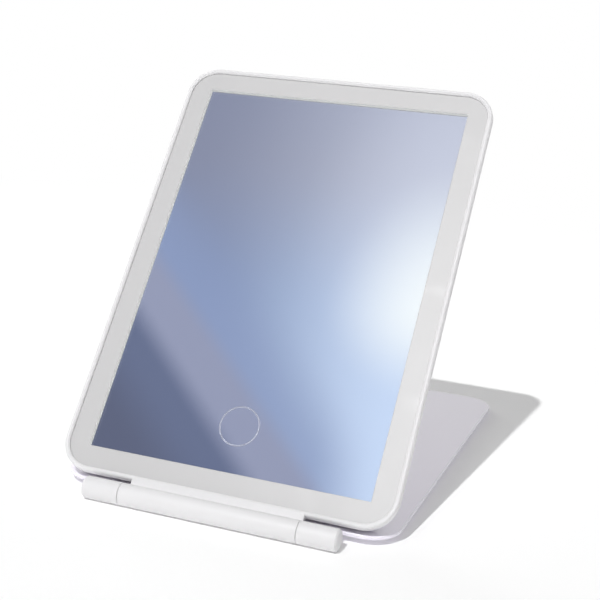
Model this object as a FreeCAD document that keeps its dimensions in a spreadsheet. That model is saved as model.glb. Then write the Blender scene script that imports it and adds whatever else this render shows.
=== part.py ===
import FreeCAD, Part
import math
import os
import Sketcher

# Tablet-shaped travel mirror with a light border, standing on its folded-back cover.
# World frame: +X along the hinge, +Y from the hinge towards the cover's free end, +Z up.
# The origin lies on the table, in the middle of the object's footprint.

# Driving sizes in millimetres.
SIZES = {
    # Mirror field and the bands around it
    "mirror_width": 134.0,
    "mirror_length": 195.0,
    "border_width": 10.3,
    "rim_width": 2.3,
    "rim_proud": 1.3,
    "rim_round": 0.8,
    "rim_inner_chamfer": 0.3,
    "panel_corner": 15.0,
    "inner_corner": 1.0,
    # Touch ring etched in the silvering
    "ring_radius": 9.2,
    "ring_line": 0.7,
    "ring_height": 21.8,
    "ring_depth": 0.05,
    # Front frame
    "frame_skirt": 2.6,
    "ledge_width": 1.5,
    "ledge_thickness": 1.4,
    "lap_gap": 0.15,
    # Rear shell
    "shell_setback": 0.9,
    "shell_wall": 1.5,
    "shell_round": 7.95,
    "floor_chamfer": 3.6,
    "seam_chamfer": 0.25,
    "rib_width": 3.0,
    "rib_length": 12.0,
    "rib_inset": 10.2,
    "rib_pitch": 140.0,
    # Layers behind the glass, front to back
    "glass_thickness": 2.0,
    "glass_gap": 0.15,
    "film_thickness": 0.1,
    "tape_thickness": 0.7,
    "tape_inset": 5.0,
    "diffuser_thickness": 2.0,
    "diffuser_gap": 0.2,
    "led_gap": 0.8,
    "tray_wall": 1.0,
    "tray_gap": 0.2,
    "plateau_gap": 0.3,
    # Light strips
    "strip_thickness": 0.8,
    "strip_gap": 0.2,
    "strip_end_gap": 1.0,
    "chip_length": 3.5,
    "chip_width": 2.8,
    "chip_height": 0.8,
    "chip_pitch": 9.0,
    # Touch sensor
    "pad_radius": 9.0,
    "pad_gap": 0.5,
    "stem_side": 4.5,
    "touch_board_side": 22.0,
    "touch_board_thickness": 0.8,
    # Charging socket and control board
    "port_rise": 6.5,
    "port_gap": 0.25,
    "socket_width": 8.94,
    "socket_height": 3.2,
    "socket_corner": 1.4,
    "socket_length": 7.3,
    "socket_wall": 0.3,
    "socket_floor": 1.2,
    "socket_inset": 3.2,
    "socket_clearance": 0.35,
    "socket_fit": 0.05,
    "tongue_width": 6.7,
    "tongue_thickness": 0.7,
    "tongue_length": 4.5,
    "board_inset": 5.4,
    "board_width": 28.0,
    "board_length": 44.0,
    "board_thickness": 1.0,
    "boss_height": 0.9,
    "boss_radius": 2.4,
    "boss_pitch": 36.0,
    "screw_radius": 1.0,
    "screw_reach": 1.2,
    "screw_head_radius": 1.9,
    "screw_head_height": 1.1,
    "driver_chip_right": 7.0,
    "driver_chip_side": 6.0,
    "driver_chip_height": 1.0,
    # Battery
    "battery_width": 46.0,
    "battery_length": 72.0,
    "battery_thickness": 4.6,
    "battery_chamfer": 1.0,
    "battery_right": 26.0,
    "battery_tape_thickness": 0.3,
    "battery_tape_margin": 5.0,
    # Hinge
    "barrel_radius": 5.0,
    "hinge_inset": 20.0,
    "knuckle_length": 17.8,
    "knuckle_gap": 0.2,
    "knuckle_chamfer": 0.8,
    "hinge_drop": 7.85,
    "tab_step": 0.7,
    "tab_blend": 1.5,
    "pin_radius": 1.5,
    "pin_reach": 14.0,
    "pin_running_gap": 0.05,
    "pin_end_gap": 0.3,
    "sleeve_wall": 1.0,
    "sleeve_length": 18.0,
    "sleeve_slit": 1.0,
    "fit_gap": 0.03,
    # Cover and its feet
    "cover_thickness": 1.9,
    "cover_drop": 0.3,
    "cover_setback": 10.4,
    "cover_chamfer": 0.45,
    "arm_step": 2.0,
    "stop_gap": 0.3,
    "foot_radius": 3.0,
    "foot_inset": 25.1,
    "foot_clearance": 0.15,
}

# Panel outline, and the outline of every layer as an inset from it.
PANEL_WIDTH = "(Sizes.mirror_width + 2 * (Sizes.border_width + Sizes.rim_width))"
PANEL_LENGTH = "(Sizes.mirror_length + 2 * (Sizes.border_width + Sizes.rim_width))"
GLASS_INSET = "(Sizes.rim_width + Sizes.glass_gap)"
LEDGE_INSET = "(Sizes.rim_width + Sizes.ledge_width)"
CAVITY_INSET = "(Sizes.shell_setback + Sizes.shell_wall)"
SPIGOT_INSET = f"({CAVITY_INSET} + Sizes.lap_gap)"
TRAY_INSET = f"({LEDGE_INSET} + Sizes.tray_gap)"
GUTTER_OUTER_INSET = f"({TRAY_INSET} + Sizes.tray_wall)"
FIELD_INSET = "(Sizes.rim_width + Sizes.border_width)"
PLATEAU_INSET = f"({FIELD_INSET} + Sizes.plateau_gap)"
HOLLOW_INSET = f"({PLATEAU_INSET} + Sizes.tray_wall)"

# Levels along the panel's normal, counted from the front of the glass.
GLASS_BACK = "(-Sizes.glass_thickness)"
LEDGE_BACK = f"({GLASS_BACK} - Sizes.ledge_thickness)"
FILM_BACK = f"({GLASS_BACK} - Sizes.film_thickness)"
TAPE_BACK = f"({FILM_BACK} - Sizes.tape_thickness)"
PLATE_BACK = f"({TAPE_BACK} - Sizes.tray_wall)"
DIFFUSER_BACK = f"({GLASS_BACK} - Sizes.diffuser_thickness)"
STRIP_FRONT = f"({DIFFUSER_BACK} - Sizes.led_gap - Sizes.chip_height)"
STRIP_BACK = f"({STRIP_FRONT} - Sizes.strip_thickness)"
TRAY_BACK = f"({STRIP_BACK} - Sizes.tray_wall)"
SOCKET_MIDDLE = f"({STRIP_BACK} - Sizes.socket_clearance - Sizes.socket_height / 2)"
SHELL_FLOOR = f"({SOCKET_MIDDLE} - Sizes.socket_height / 2 - Sizes.socket_clearance)"
SHELL_BACK = f"({SHELL_FLOOR} - Sizes.shell_wall)"
BOARD_BACK = f"({SHELL_FLOOR} + Sizes.boss_height)"
BOARD_FRONT = f"({BOARD_BACK} + Sizes.board_thickness)"
BATTERY_BACK = f"({SHELL_FLOOR} + Sizes.battery_tape_thickness)"

# Places on the panel, from the middle of its outline.
RING_Y = "(Sizes.ring_height - Sizes.mirror_length / 2)"
SOCKET_MOUTH_X = f"(Sizes.socket_inset - {PANEL_WIDTH} / 2)"
BOARD_LEFT_X = f"(Sizes.board_inset - {PANEL_WIDTH} / 2)"
BOARD_X = f"({BOARD_LEFT_X} + Sizes.board_width / 2)"
GUTTER_WIDTH = f"({PLATEAU_INSET} - {GUTTER_OUTER_INSET})"
GUTTER_MIDDLE_INSET = f"(({PLATEAU_INSET} + {GUTTER_OUTER_INSET}) / 2)"

# Hinge: the axis lies far enough in front of the glass for the cover's feet to close on it.
AXIS_FRONT = "(Sizes.barrel_radius + Sizes.foot_clearance)"
HINGE_TO_CENTRE = f"(Sizes.hinge_drop + {PANEL_LENGTH} / 2)"
BARREL_LENGTH = f"({PANEL_WIDTH} - 2 * (Sizes.hinge_inset + Sizes.knuckle_length + Sizes.knuckle_gap))"
KNUCKLE_START = f"({BARREL_LENGTH} / 2 + Sizes.knuckle_gap)"
SLEEVE_END = f"({BARREL_LENGTH} / 2 - Sizes.sleeve_length)"
SLEEVE_RADIUS = "(Sizes.pin_radius + Sizes.pin_running_gap + Sizes.sleeve_wall)"
FOOT_HEIGHT = "(Sizes.barrel_radius - Sizes.cover_drop - Sizes.cover_thickness)"

# Stand angle: the panel leans back until the shell's round lower edge meets the cover's top.
LEAN_RISE = "(Sizes.hinge_drop + Sizes.shell_setback + Sizes.shell_round)"
LEAN_DEPTH = f"({AXIS_FRONT} - {SHELL_BACK} - Sizes.shell_round)"
LEAN_REACH = "(Sizes.shell_round - Sizes.cover_drop + Sizes.stop_gap)"
TILT = (f"(asin({LEAN_REACH} / sqrt({LEAN_RISE}^2 + {LEAN_DEPTH}^2))"
        f" + atan({LEAN_DEPTH} / {LEAN_RISE}))")

# World places of the hinge axis, the cover's middle and the panel's middle.
AXIS_Y = f"((Sizes.barrel_radius - Sizes.cover_setback - {PANEL_LENGTH}) / 2)"
COVER_Y = f"({AXIS_Y} + Sizes.cover_setback + {PANEL_LENGTH} / 2)"
PANEL_Y = f"({AXIS_Y} + {HINGE_TO_CENTRE} * cos({TILT}) + {AXIS_FRONT} * sin({TILT}))"
PANEL_Z = f"(Sizes.barrel_radius + {HINGE_TO_CENTRE} * sin({TILT}) - {AXIS_FRONT} * cos({TILT}))"
PANEL_PLACEMENT = (f"create(<<placement>>; create(<<vector>>; 0; {PANEL_Y}; {PANEL_Z}); "
                   f"create(<<rotation>>; create(<<vector>>; 1; 0; 0); {TILT}))")
COVER_PLACEMENT = (f"create(<<placement>>; create(<<vector>>; 0; {COVER_Y}; 0); "
                   "create(<<rotation>>; 0; 0; 0))")

LEVEL_TOLERANCE = 1e-4
DRESS_SIZE = {"Fillet": "Radius", "Chamfer": "Size"}

doc = FreeCAD.newDocument("TravelMirror")
sheet = doc.addObject("Spreadsheet::Sheet", "Sizes")
for row, (alias, number) in enumerate(SIZES.items(), start=1):
    sheet.set(f"A{row}", alias)
    sheet.set(f"B{row}", str(number))
    sheet.setAlias(f"B{row}", alias)
doc.recompute()

sub_parts = []


def value(expression):
    """Number that a sheet expression stands for."""
    result = sheet.evalExpression(expression)
    return float(getattr(result, "Value", result))


def new_body(label, placement):
    """Empty sub-part in the panel's or the cover's own frame."""
    body = doc.addObject("PartDesign::Body", label)
    body.Label = label
    body.setExpression("Placement", placement)
    sub_parts.append(body)
    return body


def origin_feature(body, role):
    """Origin plane or axis of a sub-part."""
    return next(item for item in body.Origin.OriginFeatures if item.Role == role)


def new_sketch(body, name, plane="XY_Plane", right="0", up="0", out="0"):
    """Sketch on an origin plane, moved along its own axes by sheet expressions."""
    sketch = body.newObject("Sketcher::SketchObject", f"{body.Label}_{name}")
    sketch.AttachmentSupport = [(origin_feature(body, plane), "")]
    sketch.MapMode = "FlatFace"
    sketch.setExpression("AttachmentOffset.Base.x", right)
    sketch.setExpression("AttachmentOffset.Base.y", up)
    sketch.setExpression("AttachmentOffset.Base.z", out)
    return sketch


def bind(sketch, constraint, expression):
    """Add a sized constraint and tie it to the sheet."""
    index = sketch.addConstraint(constraint)
    name = f"size_{index}"
    sketch.renameConstraint(index, name)
    sketch.setExpression(f"Constraints.{name}", expression)


def add_circle(sketch, radius):
    """Circle round the sketch's origin."""
    axis = FreeCAD.Vector(0, 0, 1)
    circle = sketch.addGeometry(Part.Circle(FreeCAD.Vector(), axis, value(radius)), False)
    sketch.addConstraint(Sketcher.Constraint("Coincident", circle, 3, -1, 1))
    bind(sketch, Sketcher.Constraint("Radius", circle, value(radius)), radius)


def add_polygon(sketch, points):
    """Closed run of straight lines; returns the lines' indices."""
    corners = [FreeCAD.Vector(x, y, 0) for x, y in points]
    lines = []
    for start, end in zip(corners, corners[1:] + corners[:1]):
        lines.append(sketch.addGeometry(Part.LineSegment(start, end), False))
    for line, following in zip(lines, lines[1:] + lines[:1]):
        sketch.addConstraint(Sketcher.Constraint("Coincident", line, 2, following, 1))
    return lines


def add_rectangle(sketch, width, length):
    """Square-cornered rectangle round the sketch's origin."""
    half_w = value(width) / 2
    half_l = value(length) / 2
    bottom, right, top, left = add_polygon(
        sketch, [(-half_w, -half_l), (half_w, -half_l), (half_w, half_l), (-half_w, half_l)])
    for line in (bottom, top):
        sketch.addConstraint(Sketcher.Constraint("Horizontal", line))
    for line in (right, left):
        sketch.addConstraint(Sketcher.Constraint("Vertical", line))
    sketch.addConstraint(Sketcher.Constraint("Symmetric", bottom, 1, top, 1, -1, 1))
    bind(sketch, Sketcher.Constraint("DistanceX", bottom, 1, bottom, 2, 2 * half_w), width)
    bind(sketch, Sketcher.Constraint("DistanceY", right, 1, right, 2, 2 * half_l), length)


def add_rounded_rectangle(sketch, width, length, corner):
    """Rectangle with round corners, round the sketch's origin."""
    half_w = value(width) / 2
    half_l = value(length) / 2
    radius = value(corner)
    flat_w = half_w - radius
    flat_l = half_l - radius
    straight_runs = [((-flat_w, -half_l), (flat_w, -half_l)), ((half_w, -flat_l), (half_w, flat_l)),
                     ((flat_w, half_l), (-flat_w, half_l)), ((-half_w, flat_l), (-half_w, -flat_l))]
    corner_centres = [(flat_w, -flat_l), (flat_w, flat_l), (-flat_w, flat_l), (-flat_w, -flat_l)]
    lines = []
    arcs = []
    for start, end in straight_runs:
        segment = Part.LineSegment(FreeCAD.Vector(*start, 0), FreeCAD.Vector(*end, 0))
        lines.append(sketch.addGeometry(segment, False))
    for quarter, centre in enumerate(corner_centres):
        circle = Part.Circle(FreeCAD.Vector(*centre, 0), FreeCAD.Vector(0, 0, 1), radius)
        arc = Part.ArcOfCircle(circle, (quarter - 1) * math.pi / 2, quarter * math.pi / 2)
        arcs.append(sketch.addGeometry(arc, False))
    for line, arc, following in zip(lines, arcs, lines[1:] + lines[:1]):
        sketch.addConstraint(Sketcher.Constraint("Tangent", line, 2, arc, 1))
        sketch.addConstraint(Sketcher.Constraint("Tangent", arc, 2, following, 1))
    for line, direction in zip(lines, ("Horizontal", "Vertical", "Horizontal", "Vertical")):
        sketch.addConstraint(Sketcher.Constraint(direction, line))
    for arc in arcs[1:]:
        sketch.addConstraint(Sketcher.Constraint("Equal", arcs[0], arc))
    sketch.addConstraint(Sketcher.Constraint("Symmetric", lines[0], 1, lines[2], 1, -1, 1))
    bind(sketch, Sketcher.Constraint("Radius", arcs[0], radius), corner)
    bind(sketch, Sketcher.Constraint("DistanceX", lines[3], 1, lines[1], 1, 2 * half_w), width)
    bind(sketch, Sketcher.Constraint("DistanceY", lines[0], 1, lines[2], 1, 2 * half_l), length)


def add_outline(sketch, inset="0"):
    """The panel's outline, drawn in by an inset on every side."""
    corner = f"max(Sizes.panel_corner - {inset}; Sizes.inner_corner)"
    add_rounded_rectangle(sketch, f"{PANEL_WIDTH} - 2 * {inset}", f"{PANEL_LENGTH} - 2 * {inset}", corner)


def pad(body, sketch, length, backwards=False, both_ways=False):
    """Solid drawn out of a sketch along its normal."""
    feature = body.newObject("PartDesign::Pad", f"{sketch.Label}_pad")
    feature.Profile = sketch
    feature.Reversed = backwards
    feature.Midplane = both_ways
    feature.setExpression("Length", length)
    doc.recompute()
    return feature


def pocket(body, sketch, depth, forwards=False):
    """Cut from a sketch against its normal; it has to take material away."""
    before = body.Shape.Volume
    feature = body.newObject("PartDesign::Pocket", f"{sketch.Label}_pocket")
    feature.Profile = sketch
    feature.Reversed = forwards
    feature.setExpression("Length", depth)
    doc.recompute()
    if not body.Shape.Volume < before:
        raise RuntimeError(f"{sketch.Label} cuts nothing")
    return feature


def dress(body, base, kind, wanted, size, name):
    """Fillet or chamfer the edges of a feature that pass a test."""
    edges = [f"Edge{i}" for i, edge in enumerate(base.Shape.Edges, start=1) if wanted(edge)]
    if not edges:
        raise RuntimeError(f"{body.Label} has no edge for {name}")
    feature = body.newObject(f"PartDesign::{kind}", f"{body.Label}_{name}")
    feature.Base = (base, edges)
    feature.setExpression(DRESS_SIZE[kind], size)
    doc.recompute()
    if feature.Shape.isNull():
        raise RuntimeError(f"{body.Label} can't take {name}")
    return feature


def at_level(level):
    """Test for an edge that lies in the plane at a level along Z."""
    height = value(level)

    def test(edge):
        box = edge.BoundBox
        return abs(box.ZMin - height) < LEVEL_TOLERANCE and abs(box.ZMax - height) < LEVEL_TOLERANCE

    return test


def along_hinge(up, out):
    """Test for an edge that runs along X through a point of the YZ plane."""

    def test(edge):
        middle = edge.CenterOfMass
        flat = edge.BoundBox.YLength < LEVEL_TOLERANCE and edge.BoundBox.ZLength < LEVEL_TOLERANCE
        return flat and abs(middle.y - up) < LEVEL_TOLERANCE and abs(middle.z - out) < LEVEL_TOLERANCE

    return test


def make_front_frame():
    """Rim, glass ledge, hinge tab and centre barrel, moulded in one."""
    body = new_body("front_frame", PANEL_PLACEMENT)
    hinge_y = f"-{HINGE_TO_CENTRE}"
    rim = new_sketch(body, "rim", out="-Sizes.frame_skirt")
    add_outline(rim)
    rim_pad = pad(body, rim, "Sizes.frame_skirt + Sizes.rim_proud")
    dress(body, rim_pad, "Fillet", at_level("Sizes.rim_proud"), "Sizes.rim_round", "rim_edge")
    spigot = new_sketch(body, "spigot", out=LEDGE_BACK)
    add_outline(spigot, SPIGOT_INSET)
    pad(body, spigot, f"-{LEDGE_BACK} - Sizes.frame_skirt")

    tab = new_sketch(body, "tab", "YZ_Plane", right=hinge_y, up=AXIS_FRONT)
    root = "Sizes.hinge_drop + Sizes.rim_width / 2"
    face = f"{AXIS_FRONT} - Sizes.rim_proud"
    back = f"{AXIS_FRONT} + Sizes.frame_skirt"
    front_line, axis_line, back_line, root_line = add_polygon(
        tab, [(value(root), -value(face)), (0, -value(face)), (0, -value("Sizes.barrel_radius")),
              (value(root), -value(back))])
    tab.addConstraint(Sketcher.Constraint("Horizontal", front_line))
    tab.addConstraint(Sketcher.Constraint("Vertical", root_line))
    tab.addConstraint(Sketcher.Constraint("PointOnObject", axis_line, 1, -2))
    tab.addConstraint(Sketcher.Constraint("PointOnObject", axis_line, 2, -2))
    bind(tab, Sketcher.Constraint("DistanceX", -1, 1, front_line, 1, value(root)), root)
    bind(tab, Sketcher.Constraint("DistanceY", axis_line, 1, -1, 1, value(face)), face)
    bind(tab, Sketcher.Constraint("DistanceY", axis_line, 2, -1, 1, value("Sizes.barrel_radius")),
         "Sizes.barrel_radius")
    bind(tab, Sketcher.Constraint("DistanceY", root_line, 1, -1, 1, value(back)), back)
    pad(body, tab, f"{BARREL_LENGTH} - 2 * Sizes.tab_step", both_ways=True)
    barrel = new_sketch(body, "barrel", "YZ_Plane", right=hinge_y, up=AXIS_FRONT)
    add_circle(barrel, "Sizes.barrel_radius")
    barrel_pad = pad(body, barrel, BARREL_LENGTH, both_ways=True)
    seam_up = value(f"sqrt(Sizes.barrel_radius^2 - ({face})^2) - {HINGE_TO_CENTRE}")
    seam = along_hinge(seam_up, value("Sizes.rim_proud"))
    dress(body, barrel_pad, "Fillet", seam, "Sizes.tab_blend", "tab_blend")

    glass_bay = new_sketch(body, "glass_bay", out="Sizes.rim_proud")
    add_outline(glass_bay, "Sizes.rim_width")
    bay_pocket = pocket(body, glass_bay, "Sizes.rim_proud + Sizes.glass_thickness")
    bay_half_w = value(f"{PANEL_WIDTH} / 2 - Sizes.rim_width") + LEVEL_TOLERANCE
    bay_half_l = value(f"{PANEL_LENGTH} / 2 - Sizes.rim_width") + LEVEL_TOLERANCE
    front = at_level("Sizes.rim_proud")

    def bay_edge(edge):
        box = edge.BoundBox
        inside_w = max(-box.XMin, box.XMax) < bay_half_w
        inside_l = max(-box.YMin, box.YMax) < bay_half_l
        return front(edge) and inside_w and inside_l

    dress(body, bay_pocket, "Chamfer", bay_edge, "Sizes.rim_inner_chamfer", "bay_edge")
    window = new_sketch(body, "window", out=GLASS_BACK)
    add_outline(window, LEDGE_INSET)
    pocket(body, window, "Sizes.ledge_thickness")

    for side, sign in (("left", -1), ("right", 1)):
        bore = new_sketch(body, f"bore_{side}", "YZ_Plane", right=hinge_y, up=AXIS_FRONT,
                          out=f"{sign} * {BARREL_LENGTH} / 2")
        add_circle(bore, f"{SLEEVE_RADIUS} + Sizes.fit_gap")
        pocket(body, bore, "Sizes.sleeve_length + Sizes.pin_end_gap", forwards=sign < 0)


def make_rear_shell():
    """Round-edged back, a step in from the rim, with tray ribs, board bosses and the charging slot."""
    body = new_body("rear_shell", PANEL_PLACEMENT)
    depth = f"-{SHELL_BACK} - Sizes.frame_skirt"
    outer = new_sketch(body, "outer", out=SHELL_BACK)
    add_outline(outer, "Sizes.shell_setback")
    pad(body, outer, depth)
    cavity = new_sketch(body, "cavity", out="-Sizes.frame_skirt")
    add_outline(cavity, CAVITY_INSET)
    cavity_pocket = pocket(body, cavity, f"{depth} - Sizes.shell_wall")
    floor_edge = at_level(SHELL_FLOOR)
    back_edge = at_level(SHELL_BACK)
    floor_chamfer = dress(body, cavity_pocket, "Chamfer", floor_edge, "Sizes.floor_chamfer", "floor_edge")
    back_round = dress(body, floor_chamfer, "Fillet", back_edge, "Sizes.shell_round", "back_edge")
    outer_half_w = value(f"{PANEL_WIDTH} / 2 - Sizes.shell_setback") - LEVEL_TOLERANCE
    outer_half_l = value(f"{PANEL_LENGTH} / 2 - Sizes.shell_setback") - LEVEL_TOLERANCE
    front = at_level("-Sizes.frame_skirt")

    def outer_seam(edge):
        box = edge.BoundBox
        at_side = max(-box.XMin, box.XMax) > outer_half_w
        at_end = max(-box.YMin, box.YMax) > outer_half_l
        return front(edge) and (at_side or at_end)

    dress(body, back_round, "Chamfer", outer_seam, "Sizes.seam_chamfer", "seam_edge")

    side_x = f"({PANEL_WIDTH} / 2 - Sizes.rib_inset)"
    end_y = f"({PANEL_LENGTH} / 2 - Sizes.rib_inset)"
    half_pitch = "Sizes.rib_pitch / 2"
    upright = ("Sizes.rib_width", "Sizes.rib_length")
    level = ("Sizes.rib_length", "Sizes.rib_width")
    rib_places = [(f"-{side_x}", f"-{half_pitch}", upright), (f"-{side_x}", half_pitch, upright),
                  (side_x, f"-{half_pitch}", upright), (side_x, half_pitch, upright),
                  ("0", f"-{end_y}", level), ("0", end_y, level)]
    for number, (x, y, sides) in enumerate(rib_places, start=1):
        rib = new_sketch(body, f"rib_{number}", right=x, up=y, out=SHELL_FLOOR)
        add_rectangle(rib, *sides)
        pad(body, rib, f"{TRAY_BACK} - {SHELL_FLOOR}")
    for end, sign in (("lower", -1), ("upper", 1)):
        boss_y = f"Sizes.port_rise + {sign} * Sizes.boss_pitch / 2"
        boss = new_sketch(body, f"boss_{end}", right=BOARD_X, up=boss_y, out=SHELL_FLOOR)
        add_circle(boss, "Sizes.boss_radius")
        pad(body, boss, "Sizes.boss_height")
        pilot = new_sketch(body, f"pilot_{end}", right=BOARD_X, up=boss_y, out=BOARD_BACK)
        add_circle(pilot, "Sizes.screw_radius + Sizes.fit_gap")
        pocket(body, pilot, "Sizes.screw_reach + Sizes.fit_gap")

    slot = new_sketch(body, "charge_slot", "YZ_Plane", right="Sizes.port_rise", up=SOCKET_MIDDLE,
                      out=f"{SOCKET_MOUTH_X} + Sizes.socket_length")
    add_rounded_rectangle(slot, "Sizes.socket_width + 2 * Sizes.port_gap",
                          "Sizes.socket_height + 2 * Sizes.port_gap", "Sizes.socket_corner + Sizes.port_gap")
    pocket(body, slot, "Sizes.socket_inset + Sizes.socket_length")


def make_mirror_glass():
    """Clear plate with a frosted border, held in the rim."""
    body = new_body("mirror_glass", PANEL_PLACEMENT)
    outline = new_sketch(body, "outline", out=GLASS_BACK)
    add_outline(outline, GLASS_INSET)
    pad(body, outline, "Sizes.glass_thickness")


def make_mirror_film():
    """Silvering behind the glass, with the touch ring etched into its front."""
    body = new_body("mirror_film", PANEL_PLACEMENT)
    field = new_sketch(body, "field", out=FILM_BACK)
    add_rectangle(field, "Sizes.mirror_width", "Sizes.mirror_length")
    pad(body, field, "Sizes.film_thickness")
    ring = new_sketch(body, "ring", up=RING_Y, out=GLASS_BACK)
    add_circle(ring, "Sizes.ring_radius + Sizes.ring_line / 2")
    add_circle(ring, "Sizes.ring_radius - Sizes.ring_line / 2")
    pocket(body, ring, "Sizes.ring_depth")


def make_mirror_tape():
    """Foam tape between the silvering and the tray, open round the touch pad."""
    body = new_body("mirror_tape", PANEL_PLACEMENT)
    sheet_outline = new_sketch(body, "sheet", out=TAPE_BACK)
    add_rectangle(sheet_outline, "Sizes.mirror_width - 2 * Sizes.tape_inset",
                  "Sizes.mirror_length - 2 * Sizes.tape_inset")
    pad(body, sheet_outline, "Sizes.tape_thickness")
    opening = new_sketch(body, "opening", up=RING_Y, out=FILM_BACK)
    add_circle(opening, "Sizes.pad_radius + Sizes.pad_gap")
    pocket(body, opening, "Sizes.tape_thickness")


def make_diffuser():
    """Milky frame behind the frosted border."""
    body = new_body("diffuser", PANEL_PLACEMENT)
    band = new_sketch(body, "band", out=DIFFUSER_BACK)
    add_outline(band, TRAY_INSET)
    add_rectangle(band, "Sizes.mirror_width + 2 * Sizes.diffuser_gap",
                  "Sizes.mirror_length + 2 * Sizes.diffuser_gap")
    pad(body, band, "Sizes.diffuser_thickness")


def make_light_tray():
    """White tray: a raised plate behind the mirror and a gutter for the light strips."""
    body = new_body("light_tray", PANEL_PLACEMENT)
    base = new_sketch(body, "base", out=TRAY_BACK)
    add_outline(base, TRAY_INSET)
    pad(body, base, f"{DIFFUSER_BACK} - {TRAY_BACK}")
    plateau = new_sketch(body, "plateau", out=TRAY_BACK)
    add_outline(plateau, PLATEAU_INSET)
    pad(body, plateau, f"{TAPE_BACK} - {TRAY_BACK}")
    gutter = new_sketch(body, "gutter", out=DIFFUSER_BACK)
    add_outline(gutter, GUTTER_OUTER_INSET)
    add_outline(gutter, PLATEAU_INSET)
    pocket(body, gutter, f"{DIFFUSER_BACK} - {STRIP_BACK}")
    hollow = new_sketch(body, "hollow", out=TRAY_BACK)
    add_outline(hollow, HOLLOW_INSET)
    pocket(body, hollow, f"{PLATE_BACK} - {TRAY_BACK}", forwards=True)
    stem_hole = new_sketch(body, "stem_hole", up=RING_Y, out=TAPE_BACK)
    add_rectangle(stem_hole, "Sizes.stem_side + 2 * Sizes.pad_gap", "Sizes.stem_side + 2 * Sizes.pad_gap")
    pocket(body, stem_hole, "Sizes.tray_wall")
    notch = new_sketch(body, "socket_notch", right=f"{SOCKET_MOUTH_X} + Sizes.socket_length / 2",
                       up="Sizes.port_rise", out=TRAY_BACK)
    add_rectangle(notch, "Sizes.socket_length + 2 * Sizes.socket_clearance",
                  "Sizes.socket_width + 2 * Sizes.socket_clearance")
    pocket(body, notch, "Sizes.tray_wall", forwards=True)


def make_light_strip(label, x, y, upright):
    """Strip of light chips that lies in one side of the gutter."""
    body = new_body(label, PANEL_PLACEMENT)
    across = f"{GUTTER_WIDTH} - 2 * Sizes.strip_gap"
    run = f"({PANEL_LENGTH if upright else PANEL_WIDTH} - 2 * Sizes.panel_corner - 2 * Sizes.strip_end_gap)"
    count = f"floor({run} / Sizes.chip_pitch)"
    first = f"-({count} - 1) * Sizes.chip_pitch / 2"
    strip = new_sketch(body, "strip", right=x, up=y, out=STRIP_BACK)
    add_rectangle(strip, *((across, run) if upright else (run, across)))
    pad(body, strip, "Sizes.strip_thickness")
    chip_x, chip_y = (x, f"{y} + {first}") if upright else (f"{x} + {first}", y)
    chip = new_sketch(body, "chip", right=chip_x, up=chip_y, out=STRIP_FRONT)
    chip_sides = ("Sizes.chip_width", "Sizes.chip_length")
    add_rectangle(chip, *(chip_sides if upright else chip_sides[::-1]))
    chip_pad = pad(body, chip, "Sizes.chip_height")
    chip_row = body.newObject("PartDesign::LinearPattern", f"{label}_row")
    chip_row.Originals = [chip_pad]
    chip_row.Direction = (origin_feature(body, "Y_Axis" if upright else "X_Axis"), [""])
    chip_row.setExpression("Length", f"({count} - 1) * Sizes.chip_pitch")
    chip_row.setExpression("Occurrences", count)
    body.Tip = chip_row
    doc.recompute()


def make_touch_sensor():
    """Conductive pad behind the ring, with its stem on a small board behind the tray."""
    electrode = new_body("touch_pad", PANEL_PLACEMENT)
    disc = new_sketch(electrode, "disc", up=RING_Y, out=TAPE_BACK)
    add_circle(disc, "Sizes.pad_radius")
    pad(electrode, disc, "Sizes.tape_thickness")
    stem = new_sketch(electrode, "stem", up=RING_Y, out=PLATE_BACK)
    add_rectangle(stem, "Sizes.stem_side", "Sizes.stem_side")
    pad(electrode, stem, "Sizes.tray_wall")
    board = new_body("touch_board", PANEL_PLACEMENT)
    plate = new_sketch(board, "plate", up=RING_Y, out=f"{PLATE_BACK} - Sizes.touch_board_thickness")
    add_rectangle(plate, "Sizes.touch_board_side", "Sizes.touch_board_side")
    pad(board, plate, "Sizes.touch_board_thickness")


def make_control_board():
    """Board with the socket's notch, its two screw holes and the driver chip."""
    body = new_body("control_board", PANEL_PLACEMENT)
    plate = new_sketch(body, "plate", right=BOARD_X, up="Sizes.port_rise", out=BOARD_BACK)
    add_rectangle(plate, "Sizes.board_width", "Sizes.board_length")
    pad(body, plate, "Sizes.board_thickness")
    notch_end = f"{SOCKET_MOUTH_X} + Sizes.socket_length + Sizes.socket_fit"
    notch = new_sketch(body, "notch", right=f"{notch_end} - Sizes.board_width / 2",
                       up="Sizes.port_rise", out=BOARD_FRONT)
    add_rectangle(notch, "Sizes.board_width", "Sizes.socket_width + 2 * Sizes.socket_fit")
    pocket(body, notch, "Sizes.board_thickness")
    for end, sign in (("lower", -1), ("upper", 1)):
        hole = new_sketch(body, f"hole_{end}", right=BOARD_X,
                          up=f"Sizes.port_rise + {sign} * Sizes.boss_pitch / 2", out=BOARD_FRONT)
        add_circle(hole, "Sizes.screw_radius + Sizes.fit_gap")
        pocket(body, hole, "Sizes.board_thickness")
    chip = new_sketch(body, "driver_chip", right=f"{BOARD_X} + Sizes.driver_chip_right",
                      up="Sizes.port_rise", out=BOARD_FRONT)
    add_rectangle(chip, "Sizes.driver_chip_side", "Sizes.driver_chip_side")
    pad(body, chip, "Sizes.driver_chip_height")


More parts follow.
